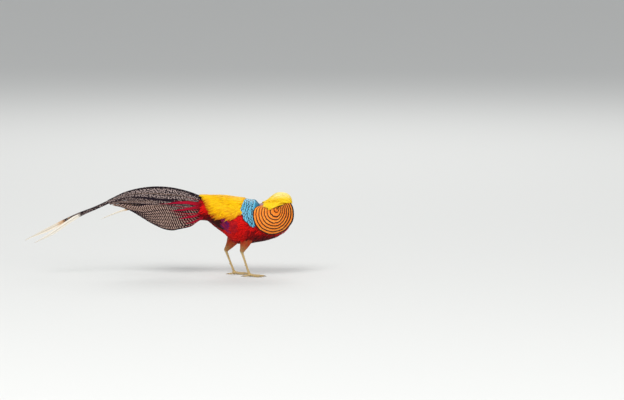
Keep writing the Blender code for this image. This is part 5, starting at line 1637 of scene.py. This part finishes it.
def eyeMaterial():
    material, tree, shader = newMaterial("eyeWet", 0.05, 0.6, 1.0)
    colour = rampNode(tree, valueOf(tree, "away"), eyeLook["stops"])
    tree.links.new(colour, shader.inputs["Base Color"])
    return material


eyeFinish = eyeMaterial()


def eyeFacing(side):
    ahead, up = eyeLook["facing"]
    return Vector((ahead, -side, up)).normalized()


def makeEye(side):
    bpy.ops.mesh.primitive_uv_sphere_add(segments=48, ring_count=32, radius=eyeLook["radius"])
    eye = bpy.context.object
    eye.name = sided("eyeball", side)
    bpy.ops.object.shade_smooth()
    points = pointsOf(eye)
    away = np.degrees(np.arccos(np.clip(unit(points) @ np.array(eyeFacing(side)), -1, 1)))
    putPoints(eye, points * (1 + eyeLook["bulge"] * eased(*eyeLook["cornea"], away))[:, None])
    paintValue(eye.data, "away", away / 90)
    forward, up, out = headLook["eye"]
    eye.data.transform(Matrix.Translation(headPoint(forward, up, side * out)))
    dress(eye, eyeFinish)
    finishPiece(eye, "eye", "eye_" + sideWords[side])


lidLook = {
    "out": 0.013, "oval": (1.1, 0.94, 0.85, 1), "scale": 2600.0,
    "folds": [  # radius, thickness, how far sunk
        (0.005, 0.00085, 0.0), (0.00605, 0.00075, 0.0006), (0.00695, 0.0008, 0.0014),
    ],
    "stops": [(0.2, (0.78, 0.54, 0.12)), (0.7, (0.62, 0.38, 0.08))],
}


def bareSkinMaterial():
    material, tree, shader = newMaterial("bareSkin", 0.45, 0.4)
    grain = textureNode(tree, "Voronoi", objectPlace(tree), lidLook["scale"])
    finishLook(tree, shader, rampNode(tree, grain, lidLook["stops"]), grain, 0.25, 0.0002)
    return material


lidFinish = bareSkinMaterial()


def makeLids(side):  # the bare rims, and the ring of yellow skin round them
    forward, up, _ = headLook["eye"]
    centre, facing = headPoint(forward, up, side * lidLook["out"]), eyeFacing(side)
    spin = facing.to_track_quat("Z", "Y").to_matrix().to_4x4() @ Matrix.Diagonal(lidLook["oval"])
    rings = []
    for radius, thick, sunk in lidLook["folds"]:
        sizes = {"major_radius": radius, "minor_radius": thick}
        bpy.ops.mesh.primitive_torus_add(major_segments=56, minor_segments=16, **sizes)
        rings.append(bpy.context.object)
        rings[-1].data.transform(Matrix.Translation(centre - facing * sunk) @ spin)
    lids = joinPieces(sided("lids", side), rings)
    bpy.ops.object.shade_smooth()
    dress(lids, lidFinish)
    finishPiece(lids, "leg_skin")


for side in (right, left):
    makeEye(side)
for side in (right, left):
    makeLids(side)

billLook = {
    "upper": [
        (0.0205, -0.0012, 0.0052, 0.0056), (0.03, -0.001, 0.0042, 0.0046), (0.037, -0.0022, 0.0033, 0.0034),
        (0.043, -0.0048, 0.002, 0.002), (0.0465, -0.0078, 0.0006, 0.0006),
    ],
    "lower": [
        (0.0205, -0.0088, 0.0021, 0.0051), (0.03, -0.0082, 0.0018, 0.004), (0.037, -0.008, 0.0013, 0.0027),
        (0.0415, -0.0082, 0.0006, 0.0012),
    ],
    # pitRim: where the painted shade round each nostril fades out
    "nostril": (0.0262, 0.0008, 0.0046), "pit": (0.0025, 0.0013, 0.001), "pitRim": (1.5, 1.02), "crease": 50,
}
hornLook = {
    # pit: the colour of the painted shade in the nostrils
    "scale": 240.0, "pit": (0.05, 0.025, 0.012),
    "billHorn": [(0.35, (0.48, 0.32, 0.12)), (0.65, (0.66, 0.48, 0.2))],
    "clawHorn": [(0.35, (0.2, 0.14, 0.08)), (0.65, (0.4, 0.3, 0.17))],
}


def hornMaterial(name):
    material, tree, shader = newMaterial(name, 0.35, 0.5)
    noise = textureNode(tree, "Noise", objectPlace(tree), hornLook["scale"], Detail=3.0)
    horn = rampNode(tree, noise, hornLook[name])
    # the nostrils' painted shade, mixed over the horn
    colour = mixNode(tree, valueOf(tree, "pit"), horn, hornLook["pit"])
    finishLook(tree, shader, colour, noise, 0.15)
    return material


def finishSmooth(made, crease, material, slotName, node):
    selectOnly(made)
    bpy.ops.object.shade_smooth_by_angle(angle=math.radians(crease))
    dress(made, material)
    return finishPiece(made, slotName, node)


def cutNostril(upper, side):  # gives back the nostril's middle
    forward, up, out = billLook["nostril"]
    centre = headPoint(forward, up, side * out)
    bpy.ops.mesh.primitive_uv_sphere_add(segments=20, ring_count=12, radius=1)
    pit = bpy.context.object
    pit.data.transform(headMatrix(centre) @ Matrix.Diagonal((*billLook["pit"], 1)))
    applyModifier(upper, "BOOLEAN", operation="DIFFERENCE", solver="EXACT", object=pit)
    bpy.data.objects.remove(pit)
    return np.array(centre)


def makeBill():
    upper = headRings("billUpper", billLook["upper"], 14, 24)
    lower = headRings("billLower", billLook["lower"], 10, 24)
    centres = [cutNostril(upper, side) for side in (right, left)]
    for made, node in ((upper, "bill_upper"), (lower, "bill_lower")):
        points = pointsOf(made)
        away = [np.linalg.norm((points - centre) / np.array(billLook["pit"]), axis=1) for centre in centres]
        # painted shade: darkest inside each nostril's pit, fading over a rim round it
        paintValue(made.data, "pit", eased(*billLook["pitRim"], np.min(away, axis=0)) * (made == upper))
        finishSmooth(made, billLook["crease"], hornFinish, "bill_horn", node)


hornFinish = hornMaterial("billHorn")
clawFinish = hornMaterial("clawHorn")
makeBill()
print("head ready")

# Thighs: dark red feathers that turn brown towards the hock.
thighLook = {
    "rows": 21, "from": 0.02, "to": 0.97, "spacing": 0.0052, "fewest": 8, "length": 0.02, "half": 0.0042,
    "run": 0.078, "past": 1.04, "lift": (-0.0022, 0.0034), "thick": (0.0006, 0.0002),
    "material": {
        "along": [(0.0, (0.3, 0.02, 0.01)), (1.0, (0.62, 0.05, 0.015))],
        "other": [(0.0, (0.26, 0.05, 0.02)), (1.0, (0.46, 0.12, 0.04))],
        "deep": (0.48, 0.26, 0.1), "dark": 0.6, "density": 24.0,
    },
}
thighFinish = featherMaterial("thighFeather", thighLook["material"])


def makeThighFeathers(side):
    rng = np.random.default_rng(80)
    look = thighLook
    form = thighForm(side)
    roots = []
    for share in np.linspace(look["from"], look["to"], look["rows"]):
        count = max(int(2 * math.pi * radiusAt(form, share) / look["spacing"]), look["fewest"])
        for i in range(count):
            roots.append((share + rng.normal(0, 0.006), 2 * math.pi * (i + rng.random()) / count))
    share, angle = np.array(roots).T
    count = len(share)
    down = perFeather(share)
    length = perFeather(spread(rng, count, look["length"], 0.15)) * (1 - 0.45 * down)
    half = perFeather(spread(rng, count, look["half"], 0.15)) * (1 - 0.4 * down)
    t, a = vaneGrid(vaneRows, 5)
    radius = np.maximum(radiusAt(form, down), 0.006)
    theta = perFeather(angle) + half * pairsAt(scarletLook["outline"], t) * a / radius
    height = look["lift"][0] + look["lift"][1] * eased(0, 0.7, t) - 0.15 * half * a * a
    along = np.minimum(down + length * t / look["run"], look["past"])
    middle, out = overPath(form, along + 0 * theta, theta, height + 0 * theta)
    laid = middle, out, np.stack([0.03 + 0.94 * share, angle / (2 * math.pi) % 1.0], -1)
    values = {"tone": rng.random(count), "deep": eased(0.5, 0.95, share)}
    name = sided("thighFeathers", side)
    makePlumage(name, "thigh_plumage", laid, values, thighFinish, vaneRows, look["thick"])


for side in (right, left):
    makeThighFeathers(side)

flankLook = {
    "ahead": 0.042, "behind": 0.022, "reach": (101, 125), "lean": 50, "length": 0.03, "half": 0.0033,
    "lift": (0.003, 0.0066), "middle": 0.01, "wide": 0.024,
}


def makeFlanks():  # long scarlet feathers of the flanks that hang over the top of each thigh
    rng = np.random.default_rng(81)
    look = flankLook
    rows = []
    for side in (right, left):
        hip = legLook[side]["hip"][0]
        xs = np.arange(hip + look["ahead"], hip - look["behind"], -scarletLook["step"])
        x, angle = rootRows(torso, rng, xs, *look["reach"], scarletLook["spacing"])
        over = np.exp(-(((x - hip - look["middle"]) / look["wide"]) ** 2))
        rows.append((x, side * angle, over))
    x, angle, over = (np.concatenate(each) for each in zip(*rows))
    count = len(x)
    lift, most = look["lift"]
    lean = np.sign(angle) * math.radians(look["lean"])
    roots = {
        "x": x, "angle": angle, "lean": lean + rng.normal(0, 0.09, count),
        **varied(rng, count, look, length=0.2, half=0.15),
        "lift": lift + most * over * spread(rng, count, 0.9, 0.15),
    }
    # painted shade: darker towards the front, where the flanks meet the shaded belly
    deep = 0.8 * eased(0.145, 0.18, x)
    return bodyPlumage("flankFeathers", torso, rng, roots, deep, 0.12, scarlet.data.materials[0])


makeFlanks()
print("thighs ready")

# Legs: shanks and toes with overlapping scutes, made straight along X and then set in place.
footLook = {
    "shank": [(0, 0.0047), (0.12, 0.0038), (0.4, 0.0033), (0.72, 0.0033), (0.94, 0.004), (1, 0.005)],
    "shankScute": 0.0046, "toeScute": 0.0026, "saw": 0.17, "ankle": 0.0066, "pad": 0.0066, "sole": 0.0002,
    "spur": {"share": 0.62, "length": 0.0085, "radius": 0.0022},
    "toes": {"inner": (-27, 0.033, 0.0034), "middle": (0, 0.044, 0.0037), "outer": (27, 0.035, 0.0034),
             "hind": (172, 0.015, 0.0029)},
    "knuckles": [(0, 1.15), (0.28, 0.82), (0.5, 1.0), (0.72, 0.8), (1, 0.86)],
    "arch": (0.0016, 0.0003, 0, -0.0004), "hindArch": (0.001, 0.0004, 0, -0.0004),  # over a toe's own height
    "claw": {"length": 0.0105, "radius": 0.0019}, "crease": 48,
    "skin": [(0.35, (0.42, 0.28, 0.1)), (0.65, (0.6, 0.44, 0.2))],
    "gaps": [(0.0, 1), (0.75, 1), (0.98, (0.42, 0.34, 0.26))],
}


def laidAlong(start, end, face):  # X runs from start to end, and Z looks towards face
    run = (end - start).normalized()
    beside = face.cross(run).normalized()
    turn = Matrix((run, beside, run.cross(beside))).transposed().to_4x4()
    return Matrix.Translation(start) @ turn


def scutedLimb(name, length, radii, scute, sides):
    count = max(int(length / scute), 3)
    places = [0.0] + [(i + step) / count for i in range(count) for step in (0.03, 0.5, 0.97)]
    rings = [(length * t, 0, 0, *[float(pairsAt(radii, t))] * 2) for t in places]
    made = extrudedRings(name, rings, sides)
    points = pointsOf(made)
    phase = (points[:, 0] / length * count) % 1.0
    away = np.hypot(points[:, 1], points[:, 2])
    front = eased(-0.1, 0.5, points[:, 2] / np.maximum(away, 1e-5))
    points[:, 1:] *= (1 + footLook["saw"] * (phase - 0.35) * front)[:, None]
    putPoints(made, points)
    paintValue(made.data, "scute", phase * front)
    return made


def roundJoint(place, radius, *size):
    bpy.ops.mesh.primitive_uv_sphere_add(segments=24, ring_count=16, radius=radius)
    joint = bpy.context.object
    joint.data.transform(Matrix.Translation(place) @ Matrix.Diagonal((*size, 1)))
    return joint


def makeLegSkin():
    material, tree, shader = newMaterial("scutedSkin", 0.42, 0.4)
    place = objectPlace(tree)
    base = rampNode(tree, textureNode(tree, "Noise", place, 420.0, Detail=3.0), footLook["skin"])
    gaps = rampNode(tree, valueOf(tree, "scute"), footLook["gaps"])
    colour = mixNode(tree, 1.0, base, gaps, "MULTIPLY")
    finishLook(tree, shader, colour, textureNode(tree, "Voronoi", place, 750.0), 0.35, 0.0003)
    return material


def makeClaw(toeName, side, matrix, start, lift):
    look = footLook["claw"]
    rings = []
    for t in np.linspace(0, 1, 9):
        radius = look["radius"] * (1 - t) ** 0.62 + 0.00022
        drop = lift * (1 - t) + 0.0007 * t + 0.0011 * math.sin(math.pi * t) * (1 - 0.3 * t)
        rings.append((start + look["length"] * t, 0, max(drop, radius * 0.92), radius, radius * 0.78))
    claw = extrudedRings(sided("claw" + toeName.capitalize(), side), rings, 12)
    claw.data.transform(matrix)
    node = "claw_" + toeName + "_" + sideWords[side]
    finishSmooth(claw, footLook["crease"], clawFinish, "claw_horn", node)


def makeToe(toeName, side, ankle):  # with its claw
    look = footLook
    turn, length, radius = look["toes"][toeName]
    hind = toeName == "hind"
    way = math.radians(legLook[side]["turn"] - side * turn)
    ahead = Vector((math.cos(way), math.sin(way), 0))
    radii = [(t, radius * k) for t, k in look["knuckles"]]
    toe = scutedLimb("toe", length, radii, look["toeScute"], 14)
    lift = radius - 0.0005
    heights = [look["ankle"] - 0.0006 * hind] + [lift + over for over in look["hindArch" if hind else "arch"]]
    points = pointsOf(toe)
    points[:, 2] += np.interp(points[:, 0] / length, [t for t, _ in radii], heights)
    points[:, 2] = np.maximum(points[:, 2], look["sole"])
    putPoints(toe, points)
    matrix = laidAlong(ankle + ahead * 0.003, ankle + ahead, Vector((0, 0, 1)))
    toe.data.transform(matrix)
    makeClaw(toeName, side, matrix, length - 0.0006, heights[-1])
    return toe


def makeFoot(side):
    look = footLook
    foot = legPoint(side, "foot")
    ankle = Vector((foot[0], foot[1], 0))
    pad = roundJoint(ankle + Vector((0, 0, look["ankle"])), look["pad"], 1.05, 0.95, 0.92)
    parts = [pad] + [makeToe(toeName, side, ankle) for toeName in look["toes"]]
    made = joinPieces(sided("foot", side), parts)
    finishSmooth(made, look["crease"], legSkin, "leg_skin", "foot_" + sideWords[side])


def makeSpur(side, root):
    look = footLook["spur"]
    radii = [look["radius"] * (1 - t) ** 0.7 + 0.0002 for t in np.linspace(0, 1, 7)]
    rings = [(look["length"] * t, 0, 0.0012 * t * t, *[r] * 2) for t, r in zip(np.linspace(0, 1, 7), radii)]
    spur = extrudedRings("spur", rings, 12)
    back = Vector((-0.86, 0.5 * side, 0.1)).normalized()
    spur.data.transform(laidAlong(root, root + back, Vector((0, 0, 1))))
    return spur


def makeShank(side):
    look = footLook
    hock, foot = Vector(legPoint(side, "hock")), Vector(legPoint(side, "foot"))
    ankle = Vector((foot.x, foot.y, look["ankle"]))
    shank = scutedLimb("shank", (ankle - hock).length, look["shank"], look["shankScute"], 18)
    shank.data.transform(laidAlong(hock, ankle, Vector((1, 0, 0))))
    joint = roundJoint(hock, look["shank"][0][1] * 1.06, 1.12, 0.95, 1.05)
    spur = makeSpur(side, hock.lerp(ankle, look["spur"]["share"]))
    made = joinPieces(sided("shank", side), [shank, spur, joint])
    finishSmooth(made, look["crease"], legSkin, "leg_skin", "shank_" + sideWords[side])


legSkin = makeLegSkin()
for side in (right, left):
    makeFoot(side)
    makeShank(side)
print("legs ready")

# Floor, light and camera.
viewLook = {
    "distance": 12.0, "azimuth": 0.0, "elevation": 6.0, "width": 2.059, "aim": (0.3696, 0.0, 0.2508),
    "sensor": 36, "floor": (0.72, 0.72, 0.7), "sky": (0.86, 0.88, 0.9), "skyStrength": 0.62,
    "lit": (0, 0, 0.15),
    "lights": {  # place, size, power
        "keyLight": ((-1.6, -5.0, 6.0), 3.4, 330),
        "fillLight": ((5.0, -4.5, 3.2), 4.0, 120),
        "backLight": ((0.6, 5.5, 5.0), 4.0, 150),
    },
}


def makeStage():
    bpy.ops.mesh.primitive_plane_add(size=120, location=(0, 0, 0))
    floor = bpy.context.object
    floor.name = "paleFloor"
    material, _, shader = newMaterial("paleFloor", 0.9)
    shader.inputs["Base Color"].default_value = (*viewLook["floor"], 1)
    floor.data.materials.append(material)
    world = bpy.data.worlds.new("studio")
    bpy.context.scene.world = world
    world.use_nodes = True
    sky = world.node_tree.nodes["Background"].inputs
    sky["Color"].default_value = (*viewLook["sky"], 1)
    sky["Strength"].default_value = viewLook["skyStrength"]
    for name, (place, size, power) in viewLook["lights"].items():
        bpy.ops.object.light_add(type="AREA", location=place)
        light = bpy.context.object
        light.name = name
        light.data.size = size
        light.data.energy = power
        way = Vector(viewLook["lit"]) - Vector(place)
        light.rotation_euler = way.to_track_quat("-Z", "Y").to_euler()


def makeCamera():
    look = viewLook
    bpy.ops.object.camera_add()
    camera = bpy.context.object
    camera.data.sensor_width = look["sensor"]
    camera.data.lens = look["sensor"] * look["distance"] / look["width"]
    rise = math.radians(look["elevation"])
    turn = math.radians(look["azimuth"])
    back = Vector((math.sin(turn) * math.cos(rise), -math.cos(turn) * math.cos(rise), math.sin(rise)))
    camera.location = Vector(look["aim"]) + birdShift + back * look["distance"]
    camera.rotation_euler = (-back).to_track_quat("-Z", "Y").to_euler()
    camera.data.clip_end = 60
    bpy.context.scene.camera = camera


makeStage()
makeCamera()
bpy.context.scene.view_settings.view_transform = "Standard"  # clean, strong colours
print("stage ready")
